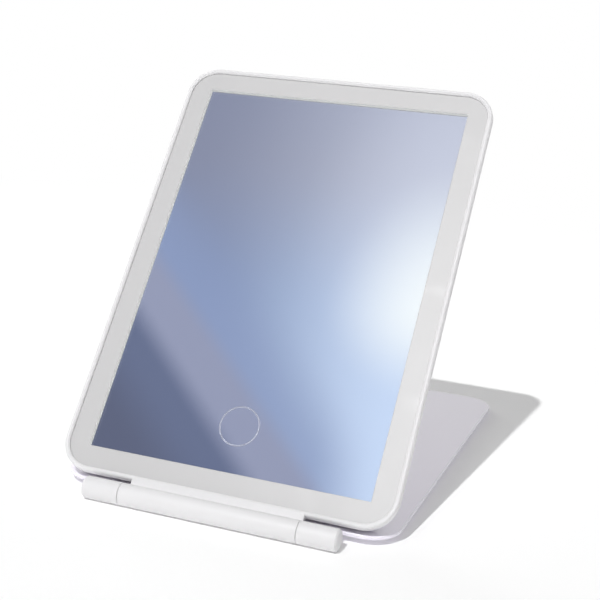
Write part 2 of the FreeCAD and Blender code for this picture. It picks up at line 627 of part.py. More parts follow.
def make_board_screw(end, sign):
    """Pan-head screw through the board into its boss."""
    body = new_body(f"board_screw_{end}", PANEL_PLACEMENT)
    y = f"Sizes.port_rise + {sign} * Sizes.boss_pitch / 2"
    head = new_sketch(body, "head", right=BOARD_X, up=y, out=BOARD_FRONT)
    add_circle(head, "Sizes.screw_head_radius")
    pad(body, head, "Sizes.screw_head_height")
    shank = new_sketch(body, "shank", right=BOARD_X, up=y, out=BOARD_FRONT)
    add_circle(shank, "Sizes.screw_radius")
    pad(body, shank, "Sizes.board_thickness + Sizes.screw_reach", backwards=True)


def make_charge_socket():
    """Flat-oval charging socket, open to the left, with its contact tongue."""
    body = new_body("charge_socket", PANEL_PLACEMENT)
    mouth = SOCKET_MOUTH_X
    can = new_sketch(body, "can", "YZ_Plane", right="Sizes.port_rise", up=SOCKET_MIDDLE, out=mouth)
    add_rounded_rectangle(can, "Sizes.socket_width", "Sizes.socket_height", "Sizes.socket_corner")
    pad(body, can, "Sizes.socket_length")
    inside = new_sketch(body, "inside", "YZ_Plane", right="Sizes.port_rise", up=SOCKET_MIDDLE, out=mouth)
    add_rounded_rectangle(inside, "Sizes.socket_width - 2 * Sizes.socket_wall",
                          "Sizes.socket_height - 2 * Sizes.socket_wall",
                          "Sizes.socket_corner - Sizes.socket_wall")
    pocket(body, inside, "Sizes.socket_length - Sizes.socket_floor", forwards=True)
    tongue = new_sketch(body, "tongue", "YZ_Plane", right="Sizes.port_rise", up=SOCKET_MIDDLE,
                        out=f"{mouth} + Sizes.socket_length - Sizes.socket_floor")
    add_rectangle(tongue, "Sizes.tongue_width", "Sizes.tongue_thickness")
    pad(body, tongue, "Sizes.tongue_length", backwards=True)


def make_battery():
    """Flat pouch cell on its tape, on the shell's floor."""
    tape = new_body("battery_tape", PANEL_PLACEMENT)
    strip = new_sketch(tape, "strip", right="Sizes.battery_right", out=SHELL_FLOOR)
    add_rectangle(strip, "Sizes.battery_width - 2 * Sizes.battery_tape_margin",
                  "Sizes.battery_length - 2 * Sizes.battery_tape_margin")
    pad(tape, strip, "Sizes.battery_tape_thickness")
    cell = new_body("battery", PANEL_PLACEMENT)
    pouch = new_sketch(cell, "pouch", right="Sizes.battery_right", out=BATTERY_BACK)
    add_rectangle(pouch, "Sizes.battery_width", "Sizes.battery_length")
    pouch_pad = pad(cell, pouch, "Sizes.battery_thickness")
    front = at_level(f"{BATTERY_BACK} + Sizes.battery_thickness")
    dress(cell, pouch_pad, "Chamfer", front, "Sizes.battery_chamfer", "edge")


def make_cover():
    """Flat cover with two arms that end in the outer hinge knuckles."""
    body = new_body("cover", COVER_PLACEMENT)
    hinge_y = f"-(Sizes.cover_setback + {PANEL_LENGTH} / 2)"
    plate = new_sketch(body, "plate", out=FOOT_HEIGHT)
    add_outline(plate)
    plate_pad = pad(body, plate, "Sizes.cover_thickness")
    top = at_level(f"{FOOT_HEIGHT} + Sizes.cover_thickness")
    bottom = at_level(FOOT_HEIGHT)
    dress(body, plate_pad, "Chamfer", lambda edge: top(edge) or bottom(edge), "Sizes.cover_chamfer", "edge")

    knuckle = new_sketch(body, "knuckle", "YZ_Plane", right=hinge_y, up="Sizes.barrel_radius",
                         out=KNUCKLE_START)
    add_circle(knuckle, "Sizes.barrel_radius")
    knuckle_pad = pad(body, knuckle, "Sizes.knuckle_length")
    arm_reach = "(Sizes.cover_setback + Sizes.cover_chamfer + Sizes.cover_thickness)"
    arm = new_sketch(body, "arm", "YZ_Plane", right=f"{hinge_y} + {arm_reach} / 2",
                     up=f"{FOOT_HEIGHT} + Sizes.cover_thickness / 2", out=KNUCKLE_START)
    add_rectangle(arm, arm_reach, "Sizes.cover_thickness")
    arm_pad = pad(body, arm, "Sizes.knuckle_length - Sizes.arm_step")
    both_sides = body.newObject("PartDesign::Mirrored", "cover_both_sides")
    both_sides.Originals = [knuckle_pad, arm_pad]
    both_sides.MirrorPlane = (origin_feature(body, "YZ_Plane"), [""])
    body.Tip = both_sides
    doc.recompute()

    outer_x = value(f"{KNUCKLE_START} + Sizes.knuckle_length")

    def outer_rim(edge):
        on_end = abs(abs(edge.CenterOfMass.x) - outer_x) < LEVEL_TOLERANCE
        return on_end and edge.BoundBox.XLength < LEVEL_TOLERANCE

    dress(body, both_sides, "Chamfer", outer_rim, "Sizes.knuckle_chamfer", "knuckle_edge")
    for side, sign in (("left", -1), ("right", 1)):
        bore = new_sketch(body, f"bore_{side}", "YZ_Plane", right=hinge_y, up="Sizes.barrel_radius",
                          out=f"{sign} * {KNUCKLE_START}")
        add_circle(bore, "Sizes.pin_radius + Sizes.fit_gap")
        pocket(body, bore, "Sizes.pin_reach + Sizes.pin_end_gap", forwards=sign > 0)


def make_hinge_pin(side, sign):
    """Steel pin that stands in a knuckle and reaches into the barrel's sleeve."""
    body = new_body(f"hinge_pin_{side}", COVER_PLACEMENT)
    section = new_sketch(body, "section", "YZ_Plane", right=f"-(Sizes.cover_setback + {PANEL_LENGTH} / 2)",
                         up="Sizes.barrel_radius", out=f"{sign} * {SLEEVE_END}")
    add_circle(section, "Sizes.pin_radius")
    pad(body, section, f"{KNUCKLE_START} + Sizes.pin_reach - {SLEEVE_END}", backwards=sign < 0)


def make_friction_sleeve(side, sign):
    """Split spring sleeve in the barrel that grips the pin."""
    body = new_body(f"friction_sleeve_{side}", PANEL_PLACEMENT)
    inner_end = f"{sign} * {SLEEVE_END}"
    ring = new_sketch(body, "ring", "YZ_Plane", right=f"-{HINGE_TO_CENTRE}", up=AXIS_FRONT, out=inner_end)
    add_circle(ring, SLEEVE_RADIUS)
    add_circle(ring, "Sizes.pin_radius + Sizes.pin_running_gap")
    pad(body, ring, "Sizes.sleeve_length", backwards=sign < 0)
    slit = new_sketch(body, "slit", "YZ_Plane", right=f"{SLEEVE_RADIUS} - {HINGE_TO_CENTRE}",
                      up=AXIS_FRONT, out=inner_end)
    add_rectangle(slit, f"2 * {SLEEVE_RADIUS}", "Sizes.sleeve_slit")
    pocket(body, slit, "Sizes.sleeve_length", forwards=sign > 0)


def make_foot(label, x_sign, y_sign):
    """Soft round foot under the cover, placed so that it closes on the frosted border."""
    body = new_body(label, COVER_PLACEMENT)
    closed_shift = "(Sizes.hinge_drop - Sizes.cover_setback)"
    disc = new_sketch(body, "disc", right=f"{x_sign} * (Sizes.mirror_width + Sizes.border_width) / 2",
                      up=f"{closed_shift} + {y_sign} * ({PANEL_LENGTH} / 2 - Sizes.foot_inset)")
    add_circle(disc, "Sizes.foot_radius")
    pad(body, disc, FOOT_HEIGHT)


def check_document():
    """Stop before anything is written if a feature failed or a shape is unsound."""
    for item in doc.Objects:
        if "Invalid" in item.State or "Error" in item.State:
            raise RuntimeError(f"{item.Label} failed: {item.State}")
    for body in sub_parts:
        if body.Shape.isNull() or not body.Shape.isValid() or len(body.Shape.Solids) != 1:
            raise RuntimeError(f"{body.Label} is not one sound solid")


make_cover()
for foot_label, foot_x, foot_y in (("foot_front_left", -1, -1), ("foot_front_right", 1, -1),
                                   ("foot_rear_left", -1, 1), ("foot_rear_right", 1, 1)):
    make_foot(foot_label, foot_x, foot_y)
make_front_frame()
make_rear_shell()
make_mirror_glass()
make_mirror_film()
make_mirror_tape()
make_diffuser()
make_light_tray()
strip_x = f"({PANEL_WIDTH} / 2 - {GUTTER_MIDDLE_INSET})"
strip_y = f"({PANEL_LENGTH} / 2 - {GUTTER_MIDDLE_INSET})"
make_light_strip("light_strip_left", f"-{strip_x}", "0", True)
make_light_strip("light_strip_right", strip_x, "0", True)
make_light_strip("light_strip_bottom", "0", f"-{strip_y}", False)
make_light_strip("light_strip_top", "0", strip_y, False)
make_touch_sensor()
make_control_board()
make_charge_socket()
make_battery()
for screw_end, screw_sign in (("lower", -1), ("upper", 1)):
    make_board_screw(screw_end, screw_sign)
for hinge_side, hinge_sign in (("left", -1), ("right", 1)):
    make_hinge_pin(hinge_side, hinge_sign)
    make_friction_sleeve(hinge_side, hinge_sign)

doc.recompute()
check_document()
print(f"stand angle {value(TILT):.3f}, hinge axis y {value(AXIS_Y):.3f}")
os.makedirs("parts", exist_ok=True)
for body in sub_parts:
    body.Shape.exportStep(f"parts/{body.Label}.step")
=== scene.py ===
"""Looks of the folding travel mirror: finishes, small pieces, stage and camera.

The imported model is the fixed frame, in metres, with +Z up and the table at z = 0.
The panel leans back on a hinge along X, and the cover lies folded back behind it.
"""

import logging
import math
from dataclasses import dataclass
from enum import Enum

import bmesh
import bpy
from bpy.types import Material, Mesh, Node, NodeSocket, NodeTree, Object
from mathutils import Matrix, Vector


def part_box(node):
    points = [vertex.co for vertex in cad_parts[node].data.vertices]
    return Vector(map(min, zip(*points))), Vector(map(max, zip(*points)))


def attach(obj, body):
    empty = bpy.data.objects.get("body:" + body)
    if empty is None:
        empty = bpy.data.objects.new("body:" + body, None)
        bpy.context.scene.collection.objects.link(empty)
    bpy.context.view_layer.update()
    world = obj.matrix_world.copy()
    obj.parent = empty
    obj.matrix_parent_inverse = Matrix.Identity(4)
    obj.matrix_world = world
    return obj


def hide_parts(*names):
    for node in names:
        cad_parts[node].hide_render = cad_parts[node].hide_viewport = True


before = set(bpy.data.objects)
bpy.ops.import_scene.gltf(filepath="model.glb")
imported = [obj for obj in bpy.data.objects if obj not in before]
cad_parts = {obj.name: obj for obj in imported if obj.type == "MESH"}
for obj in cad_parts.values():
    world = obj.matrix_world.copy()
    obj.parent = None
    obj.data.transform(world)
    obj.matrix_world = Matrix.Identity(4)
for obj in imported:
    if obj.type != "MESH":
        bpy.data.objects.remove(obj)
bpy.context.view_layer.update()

LOG = logging.getLogger("travel_mirror")
MM = 0.001
MERGE = 1e-6
Colour = tuple[float, float, float, float]
Triple = tuple[float, float, float]
Span = tuple[float, float]
Inputs = dict[str | int, object]
Sockets = bpy.types.bpy_prop_collection


class Body(Enum):
    """The two bodies that the hinge joins."""

    COVER = "cover"
    PANEL = "panel"


class Slot(Enum):
    """Material slots of the record."""

    SHELL = "shell_white"
    COVER = "cover_white"
    FOOT = "foot_rubber"
    PIN = "pin_steel"
    GLASS = "clear_glass"
    SILVER = "silvering"
    TAPE = "foam_tape"
    MILKY = "milky_plastic"
    TRAY = "tray_white"
    LIGHTS = "light_strip"
    FOAM = "conductive_foam"
    BOARD = "circuit_board"
    SOCKET = "socket_steel"
    BATTERY = "battery_foil"


def tone(red: int, green: int, blue: int) -> Colour:
    """Scene-linear colour of a shade written as it shows on a screen, by the sRGB curve.

    Args:
        red: Red level, 0 to 255.
        green: Green level, 0 to 255.
        blue: Blue level, 0 to 255.

    Returns:
        The linear colour with full alpha.
    """
    def straight(level: int) -> float:
        """Linear value of one level."""
        share = level / 255
        return share / 12.92 if share <= 0.04045 else ((share + 0.055) / 1.055) ** 2.4

    return straight(red), straight(green), straight(blue), 1.0


def grey(level: float) -> Colour:
    """Neutral colour of one linear level."""
    return level, level, level, 1.0


def dimmed(colour: Colour, share: float) -> Colour:
    """Colour brought down to a share of its light."""
    return *(share * part for part in colour[:3]), 1.0


def put(name: str, data: bpy.types.ID) -> Object:
    """Link a new object into the scene.

    Args:
        name: Name of the object.
        data: Its mesh, lamp or camera.

    Returns:
        The object.
    """
    item = bpy.data.objects.new(name, data)
    bpy.context.scene.collection.objects.link(item)
    return item


def plain_mesh(name: str, shape: bmesh.types.BMesh) -> Mesh:
    """Mesh of a finished shape, which is freed.

    Args:
        name: Name of the mesh.
        shape: The shape.

    Returns:
        The mesh.
    """
    mesh = bpy.data.meshes.new(name)
    shape.to_mesh(mesh)
    shape.free()
    return mesh


def settle(piece: Object, body: Body) -> None:
    """Join a piece to its body, and report it.

    Args:
        piece: The piece.
        body: Body that it rides on.
    """
    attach(piece, body.value)
    LOG.info("%s: %d faces", piece.name, len(piece.data.polygons))


class Graph:
    """Adds nodes to a node tree and links them."""

    def __init__(self, tree: NodeTree) -> None:
        """Keep the tree that the nodes go into."""
        self.tree = tree

    def add(self, kind: str, inputs: Inputs | None = None, **settings: object) -> Node:
        """Add one node.

        Args:
            kind: Blender's type name of the node.
            inputs: Values or output sockets for its inputs, by name or number.
            settings: Attributes of the node itself.

        Returns:
            The new node.
        """
        node = self.tree.nodes.new(kind)
        for name, value in settings.items():
            setattr(node, name, value)
        self.feed(node, inputs or {})
        return node

    def feed(self, node: Node, inputs: Inputs) -> None:
        """Link output sockets to a node's inputs, or set the inputs' own values.

        Args:
            node: The node.
            inputs: Values or output sockets, by the input's name or number.
        """
        for key, value in inputs.items():
            if isinstance(value, NodeSocket):
                self.tree.links.new(value, node.inputs[key])
            else:
                node.inputs[key].default_value = value

    def calc(self, operation: str, first: object, second: object = 0.0,
             clamp: bool = False) -> NodeSocket:
        """Result of a Math node."""
        inputs = {0: first, 1: second}
        return self.add("ShaderNodeMath", inputs, operation=operation, use_clamp=clamp).outputs[0]

    def measure(self, operation: str, first: object,
                second: object = (0.0, 0.0, 0.0)) -> NodeSocket:
        """Value that a Vector Math node gives."""
        node = self.add("ShaderNodeVectorMath", {0: first, 1: second}, operation=operation)
        return node.outputs["Value"]

    def step(self, value: object, start: float, end: float) -> NodeSocket:
        """Smooth rise from 0 at start to 1 at end."""
        inputs = {"Value": value, "From Min": start, "From Max": end}
        return self.add("ShaderNodeMapRange", inputs, interpolation_type="SMOOTHSTEP").outputs[0]

    def mix(self, factor: object, first: object, second: object) -> NodeSocket:
        """Value that goes from the first to the second with the factor."""
        return self.add("ShaderNodeMix", {0: factor, 2: first, 3: second}).outputs[0]

    def blend(self, factor: object, first: object, second: object) -> NodeSocket:
        """Colour that goes from the first to the second with the factor."""
        node = self.add("ShaderNodeMix", {0: factor, 6: first, 7: second}, data_type="RGBA")
        return node.outputs[2]

    def noise(self, place: NodeSocket, scale: object, detail: float = 2.0,
              twist: float = 0.0) -> NodeSocket:
        """Plain noise, 0 to 1, at a place."""
        inputs = {"Vector": place, "Scale": scale, "Detail": detail, "Distortion": twist}
        return self.add("ShaderNodeTexNoise", inputs).outputs[0]

    def place(self, kind: str = "Object") -> NodeSocket:
        """Texture coordinate of a kind."""
        return self.add("ShaderNodeTexCoord").outputs[kind]

    def split(self, vector: NodeSocket) -> Sockets:
        """Outputs X, Y and Z of a vector."""
        return self.add("ShaderNodeSeparateXYZ", {0: vector}).outputs

    def true_normal(self) -> NodeSocket:
        """Normal of the face itself."""
        return self.add("ShaderNodeNewGeometry").outputs["True Normal"]

    def seen_directly(self) -> NodeSocket:
        """Tell what is seen from the light that falls on things.

        Returns:
            1 for what the camera, a mirror or glass shows, and 0 for other light.
        """
        path = self.add("ShaderNodeLightPath").outputs
        shown = self.calc("MAXIMUM", path["Is Camera Ray"], path["Is Glossy Ray"])
        return self.calc("MAXIMUM", shown, path["Is Transmission Ray"])

    def join(self, *shapes: NodeSocket) -> NodeSocket:
        """Put shapes into one geometry.

        Args:
            shapes: The shapes.

        Returns:
            The whole.
        """
        whole = self.add("GeometryNodeJoinGeometry")
        for shape in shapes:
            self.feed(whole, {0: shape})
        return whole.outputs[0]


class Effects:
    """Shader node groups that several finishes share."""

    FINE_DETAIL = 3.0
    EDGE_SAMPLES = 6
    EDGE_TURN = (0.01, 0.2)
    SMEAR_DETAIL = 4.0
    SMEAR_TWIST = 1.2
    SMEAR_RISE = (0.5, 0.8)

    def __init__(self) -> None:
        """Build each group once."""
        self.grain = self._grain()
        self.soft_edge = self._soft_edge()
        self.handling = self._handling()

    @staticmethod
    def _group(name: str, takes: dict[str, float],
               gives: dict[str, str]) -> tuple[Graph, Sockets, Node]:
        """Empty shader group with named sockets.

        Args:
            name: Name of the group.
            takes: Default value of each float input.
            gives: Socket type of each output.

        Returns:
            The graph, the sockets that it takes from and its output node.
        """
        tree = bpy.data.node_groups.new(name, "ShaderNodeTree")
        for label, value in takes.items():
            socket = tree.interface.new_socket(label, in_out="INPUT", socket_type="NodeSocketFloat")
            socket.default_value = value
        for label, kind in gives.items():
            tree.interface.new_socket(label, in_out="OUTPUT", socket_type=kind)
        graph = Graph(tree)
        return graph, graph.add("NodeGroupInput").outputs, graph.add("NodeGroupOutput")

    def _grain(self) -> NodeTree:
        """Fine spark-eroded grain of moulded plastic, and its slow drift in tone.

        Returns:
            The group.
        """
        graph, takes, gives = self._group("moulded_grain", {"Scale": 2600.0, "Drift Scale": 22.0},
                                          {"Height": "NodeSocketFloat", "Drift": "NodeSocketFloat"})
        place = graph.place()
        fine = graph.noise(place, takes["Scale"], self.FINE_DETAIL)
        pits = graph.add("ShaderNodeTexVoronoi", {"Vector": place, "Scale": takes["Scale"]})
        graph.feed(gives, {"Height": graph.calc("MULTIPLY", fine, pits.outputs["Distance"]),
                           "Drift": graph.noise(place, takes["Drift Scale"])})
        return graph.tree

    def _soft_edge(self) -> NodeTree:
        """Normal rounded over sharp edges, and a mask of where the edges are.

        Returns:
            The group.
        """
        graph, takes, gives = self._group("soft_edge", {"Radius": 0.4 * MM},
                                          {"Normal": "NodeSocketVector", "Edge": "NodeSocketFloat"})
        bevel = graph.add("ShaderNodeBevel", {"Radius": takes["Radius"]}, samples=self.EDGE_SAMPLES)
        match = graph.measure("DOT_PRODUCT", bevel.outputs[0], graph.true_normal())
        turned = graph.calc("SUBTRACT", 1.0, match, clamp=True)
        graph.feed(gives, {"Normal": bevel.outputs[0], "Edge": graph.step(turned, *self.EDGE_TURN)})
        return graph.tree

    def _handling(self) -> NodeTree:
        """Faint smears of handling, as a mask.

        Returns:
            The group.
        """
        graph, takes, gives = self._group("handling_marks", {"Scale": 34.0, "Amount": 0.5},
                                          {"Mask": "NodeSocketFloat"})
        broad = graph.noise(graph.place(), takes["Scale"], self.SMEAR_DETAIL, self.SMEAR_TWIST)
        smear = graph.step(broad, *self.SMEAR_RISE)
        graph.feed(gives, {"Mask": graph.calc("MULTIPLY", smear, takes["Amount"])})
        return graph.tree


class Skin(Graph):
    """A new material: its graph, its main shader and the shared groups."""

    def __init__(self, name: str, effects: Effects) -> None:
        """Start the material.

        Args:
            name: Name of the material.
            effects: The shared shader groups.
        """
        self.material = bpy.data.materials.new(name)
        self.material.use_nodes = True
        super().__init__(self.material.node_tree)
        self.shader = self.tree.nodes["Principled BSDF"]
        self.effects = effects

    def wear(self, inputs: Inputs) -> None:
        """Set or link inputs of the main shader."""
        self.feed(self.shader, inputs)

    def group(self, tree: NodeTree, inputs: Inputs | None = None) -> Sockets:
        """Outputs of a shared group that is placed with its own values."""
        return self.add("ShaderNodeGroup", inputs, node_tree=tree).outputs

    def emboss(self, height: NodeSocket, strength: float, depth: float,
               normal: NodeSocket | None = None, invert: bool = False) -> None:
        """Raise the surface by a bump.

        Args:
            height: Height over the surface.
            strength: Share of the bump that shows.
            depth: Rise of a full height.
            normal: Normal that the bump goes on, where it isn't the surface's own.
            invert: Whether a greater height lies lower.
        """
        inputs = {"Strength": strength, "Distance": depth, "Height": height}
        if normal is not None:
            inputs["Normal"] = normal
        self.wear({"Normal": self.add("ShaderNodeBump", inputs, invert=invert).outputs[0]})


@dataclass(frozen=True)
class Finish:
    """A finish that becomes one material."""

    name: str

    def make(self, effects: Effects) -> Material:
        """Material of this finish.

        Args:
            effects: The shared shader groups.

        Returns:
            The new material, with its nodes set.
        """
        skin = Skin(self.name, effects)
        self.dress(skin)
        return skin.material

    def dress(self, skin: Skin) -> None:
        """Set the shader's sockets; each kind of finish has its own way."""
        raise NotImplementedError


@dataclass(frozen=True)
class MouldedPlastic(Finish):
    """Matt moulded plastic with a fine grain and softly rounded edges."""

    colour: Colour = (0.76, 0.755, 0.765, 1.0)
    shade: Colour = (0.735, 0.73, 0.74, 1.0)
    roughness: float = 0.42
    edge_roughness: float = 0.32
    edge_radius: float = 0.5 * MM
    smear: float = -0.08
    grain_scale: float = 2600.0
    grain_depth: float = 0.00002
    grain_strength: float = 0.25
    gloss: float = 0.3
    scatter: float = 0.3
    scatter_depth: float = 1.5 * MM
    scatter_radius: Triple = (1.0, 1.0, 1.0)

    def dress(self, skin: Skin) -> None:
        """Grain in the bump, drift in the colour, polished edges, light scattered below the skin.

        Args:
            skin: The material.
        """
        grain = skin.group(skin.effects.grain, {"Scale": self.grain_scale})
        edge = skin.group(skin.effects.soft_edge, {"Radius": self.edge_radius})
        marks = skin.group(skin.effects.handling)
        worn = skin.calc("MULTIPLY", edge["Edge"], self.edge_roughness - self.roughness)
        smeared = skin.calc("MULTIPLY", marks["Mask"], self.smear)
        dull = skin.calc("ADD", skin.calc("ADD", worn, smeared), self.roughness)
        skin.wear({"Base Color": self.tint(skin, grain["Drift"]), "Roughness": dull,
                   "Specular IOR Level": self.gloss, "Subsurface Weight": self.scatter,
                   "Subsurface Radius": self.scatter_radius,
                   "Subsurface Scale": self.scatter_depth})
        skin.emboss(grain["Height"], self.grain_strength, self.grain_depth, edge["Normal"])

    def tint(self, skin: Skin, drift: NodeSocket) -> NodeSocket:
        """Colour over the surface."""
        return skin.blend(drift, self.colour, self.shade)


@dataclass(frozen=True)
class CoverPlastic(MouldedPlastic):
    """Plastic of the cover: a lavender-white plate between white hinge knuckles; the plate's
    lavender and its lift over the white are partly painted light.
    """

    # Partly painted: the plate is lighter and more lavender than the cover's own faint tint, for
    # the bluish soft light it gets in the panel's shade.
    plate: Colour = (0.875, 0.84, 0.945, 1.0)
    plate_start: float = -0.104
    plate_fade: float = 0.002
    coat: float = 1.0
    coat_roughness: float = 0.2

    def dress(self, skin: Skin) -> None:
        """Moulded plastic with a polished coat over the plate.

        Args:
            skin: The material.
        """
        super().dress(skin)
        skin.wear({"Coat Weight": skin.calc("MULTIPLY", self.on_plate(skin), self.coat),
                   "Coat Roughness": self.coat_roughness})

    def on_plate(self, skin: Skin) -> NodeSocket:
        """1 over the plate, 0 at the hinge."""
        along = skin.split(skin.place())["Y"]
        return skin.step(along, self.plate_start, self.plate_start + self.plate_fade)

    def tint(self, skin: Skin, drift: NodeSocket) -> NodeSocket:
        """White at the hinge, lavender-white over the plate, partly as a painted cast of the light
        in the panel's shade.
        """
        return skin.blend(self.on_plate(skin), super().tint(skin, drift), self.plate)


@dataclass(frozen=True)
class ClearGlass(Finish):
    """Polished clear glass."""

    colour: Colour = (0.97, 0.985, 0.98, 1.0)
    refraction: float = 1.5
    smear_scale: float = 20.0
    smear: float = 0.01

    def dress(self, skin: Skin) -> None:
        """Full transmission, with the faintest smears.

        Args:
            skin: The material.
        """
        marks = skin.group(skin.effects.handling, {"Scale": self.smear_scale, "Amount": self.smear})
        skin.wear({"Base Color": self.colour, "Transmission Weight": 1.0, "IOR": self.refraction,
                   "Roughness": marks["Mask"], "Normal": skin.true_normal()})


@dataclass(frozen=True)
class Silvering(Finish):
    """Silver layer behind the glass."""

    colour: Colour = (0.93, 0.94, 0.96, 1.0)
    drift_scale: float = 9.0
    dimming: float = 0.985
    haze: float = 0.012

    def dress(self, skin: Skin) -> None:
        """Near-perfect mirror with a slight drift in its coating.

        Args:
            skin: The material.
        """
        drift = skin.group(skin.effects.grain, {"Drift Scale": self.drift_scale})["Drift"]
        dim = dimmed(self.colour, self.dimming)
        skin.wear({"Base Color": skin.blend(drift, self.colour, dim), "Metallic": 1.0,
                   "Roughness": skin.calc("MULTIPLY", drift, self.haze),
                   "Normal": skin.true_normal()})


@dataclass(frozen=True)
class FrostedPrint(Finish):
    """Sand-frosted face of the glass round the mirror field."""

    colour: Colour = (0.522, 0.518, 0.52, 1.0)
    shade: Colour = (0.505, 0.5, 0.505, 1.0)
    roughness: float = 0.42
    smear: float = 0.12
    speck_scale: float = 5200.0
    speck_strength: float = 0.3
    speck_depth: float = 0.00001
    drift_scale: float = 14.0
    under: Triple = (0.0, 0.79967, -0.60044)
    under_turn: Span = (0.5, 0.9)
    # Strength of the painted glow on the underside, which stands in for light that would reach it
    # through the glass.
    painted_glow: float = 0.45

    def dress(self, skin: Skin) -> None:
        """Dull even white with a very fine sparkle, and a painted glow on its underside in place of
        the light that would come to it through the glass.

        Args:
            skin: The material.
        """
        grain = skin.group(skin.effects.grain,
                           {"Scale": self.speck_scale, "Drift Scale": self.drift_scale})
        marks = skin.group(skin.effects.handling, {"Amount": self.smear})
        facing = skin.measure("DOT_PRODUCT", skin.place("Normal"), self.under)
        below = skin.step(facing, *self.under_turn)
        skin.wear({"Base Color": skin.blend(grain["Drift"], self.colour, self.shade),
                   "Roughness": skin.calc("SUBTRACT", self.roughness, marks["Mask"]),
                   "Emission Color": skin.blend(below, grey(0.0), self.colour),
                   "Emission Strength": self.painted_glow})
        skin.emboss(grain["Height"], self.speck_strength, self.speck_depth)


@dataclass(frozen=True)
class SoftPlain(Finish):
    """Rubber, foam or milky plastic: one colour family with grain."""

    colour: Colour = grey(0.7)
    shade: Colour = grey(0.66)
    roughness: float = 0.7
    rough_range: float = 0.1
    drift_scale: float = 60.0
    grain_scale: float = 1500.0
    grain_strength: float = 0.4
    grain_depth: float = 0.00004
    # Strength of a painted glow in the part's own colour, which stands in for light that would
    # reach it through the glass.
    painted_glow: float = 0.0

    def dress(self, skin: Skin) -> None:
        """Grain in colour, roughness and bump, with any painted glow in the part's own colour.

        Args:
            skin: The material.
        """
        grain = skin.group(skin.effects.grain,
                           {"Scale": self.grain_scale, "Drift Scale": self.drift_scale})
        rough = skin.calc("MULTIPLY", grain["Drift"], self.rough_range)
        skin.wear({"Base Color": skin.blend(grain["Drift"], self.colour, self.shade),
                   "Roughness": skin.calc("ADD", rough, self.roughness - self.rough_range / 2),
                   "Emission Color": self.colour, "Emission Strength": self.painted_glow})
        skin.emboss(grain["Height"], self.grain_strength, self.grain_depth)


@dataclass(frozen=True)
class BrushedMetal(Finish):
    """Drawn or plated metal with fine lines along one axis."""

    colour: Colour = (0.6, 0.6, 0.61, 1.0)
    dimming: float = 0.88
    roughness: float = 0.28
    rough_range: float = 0.14
    stretch: Triple = (40.0, 4000.0, 4000.0)
    line_strength: float = 0.15
    line_depth: float = 0.00001

    def dress(self, skin: Skin) -> None:
        """Lines in the colour, the roughness and the bump.

        Args:
            skin: The material.
        """
        drawn = skin.add("ShaderNodeMapping", {"Vector": skin.place(), "Scale": self.stretch})
        lines = skin.noise(drawn.outputs[0], 1.0)
        dim = dimmed(self.colour, self.dimming)
        rough = skin.calc("MULTIPLY", lines, self.rough_range)
        skin.wear({"Base Color": skin.blend(lines, self.colour, dim), "Metallic": 1.0,
                   "Roughness": skin.calc("ADD", rough, self.roughness - self.rough_range / 2)})
        skin.emboss(lines, self.line_strength, self.line_depth)


@dataclass(frozen=True)
class BoardLacquer(Finish):
    """Lacquered circuit board with its faint copper tracks."""

    colour: Colour = (0.03, 0.16, 0.07, 1.0)
    track: Colour = (0.05, 0.24, 0.1, 1.0)
    track_pitch: float = 900.0
    track_edge: Span = (0.3, 0.36)
    track_strength: float = 0.3
    track_depth: float = 0.00003
    roughness: float = 0.3
    rough_range: float = 0.1

    def dress(self, skin: Skin) -> None:
        """Tracks as cells with straight walls, raised a little.

        Args:
            skin: The material.
        """
        cells = skin.add("ShaderNodeTexVoronoi",
                         {"Vector": skin.place(), "Scale": self.track_pitch},
                         distance="MANHATTAN", feature="F1")
        mask = skin.step(cells.outputs["Distance"], *self.track_edge)
        rough = skin.calc("MULTIPLY", mask, self.rough_range)
        skin.wear({"Base Color": skin.blend(mask, self.track, self.colour),
                   "Roughness": skin.calc("ADD", rough, self.roughness)})
        skin.emboss(mask, self.track_strength, self.track_depth, invert=True)


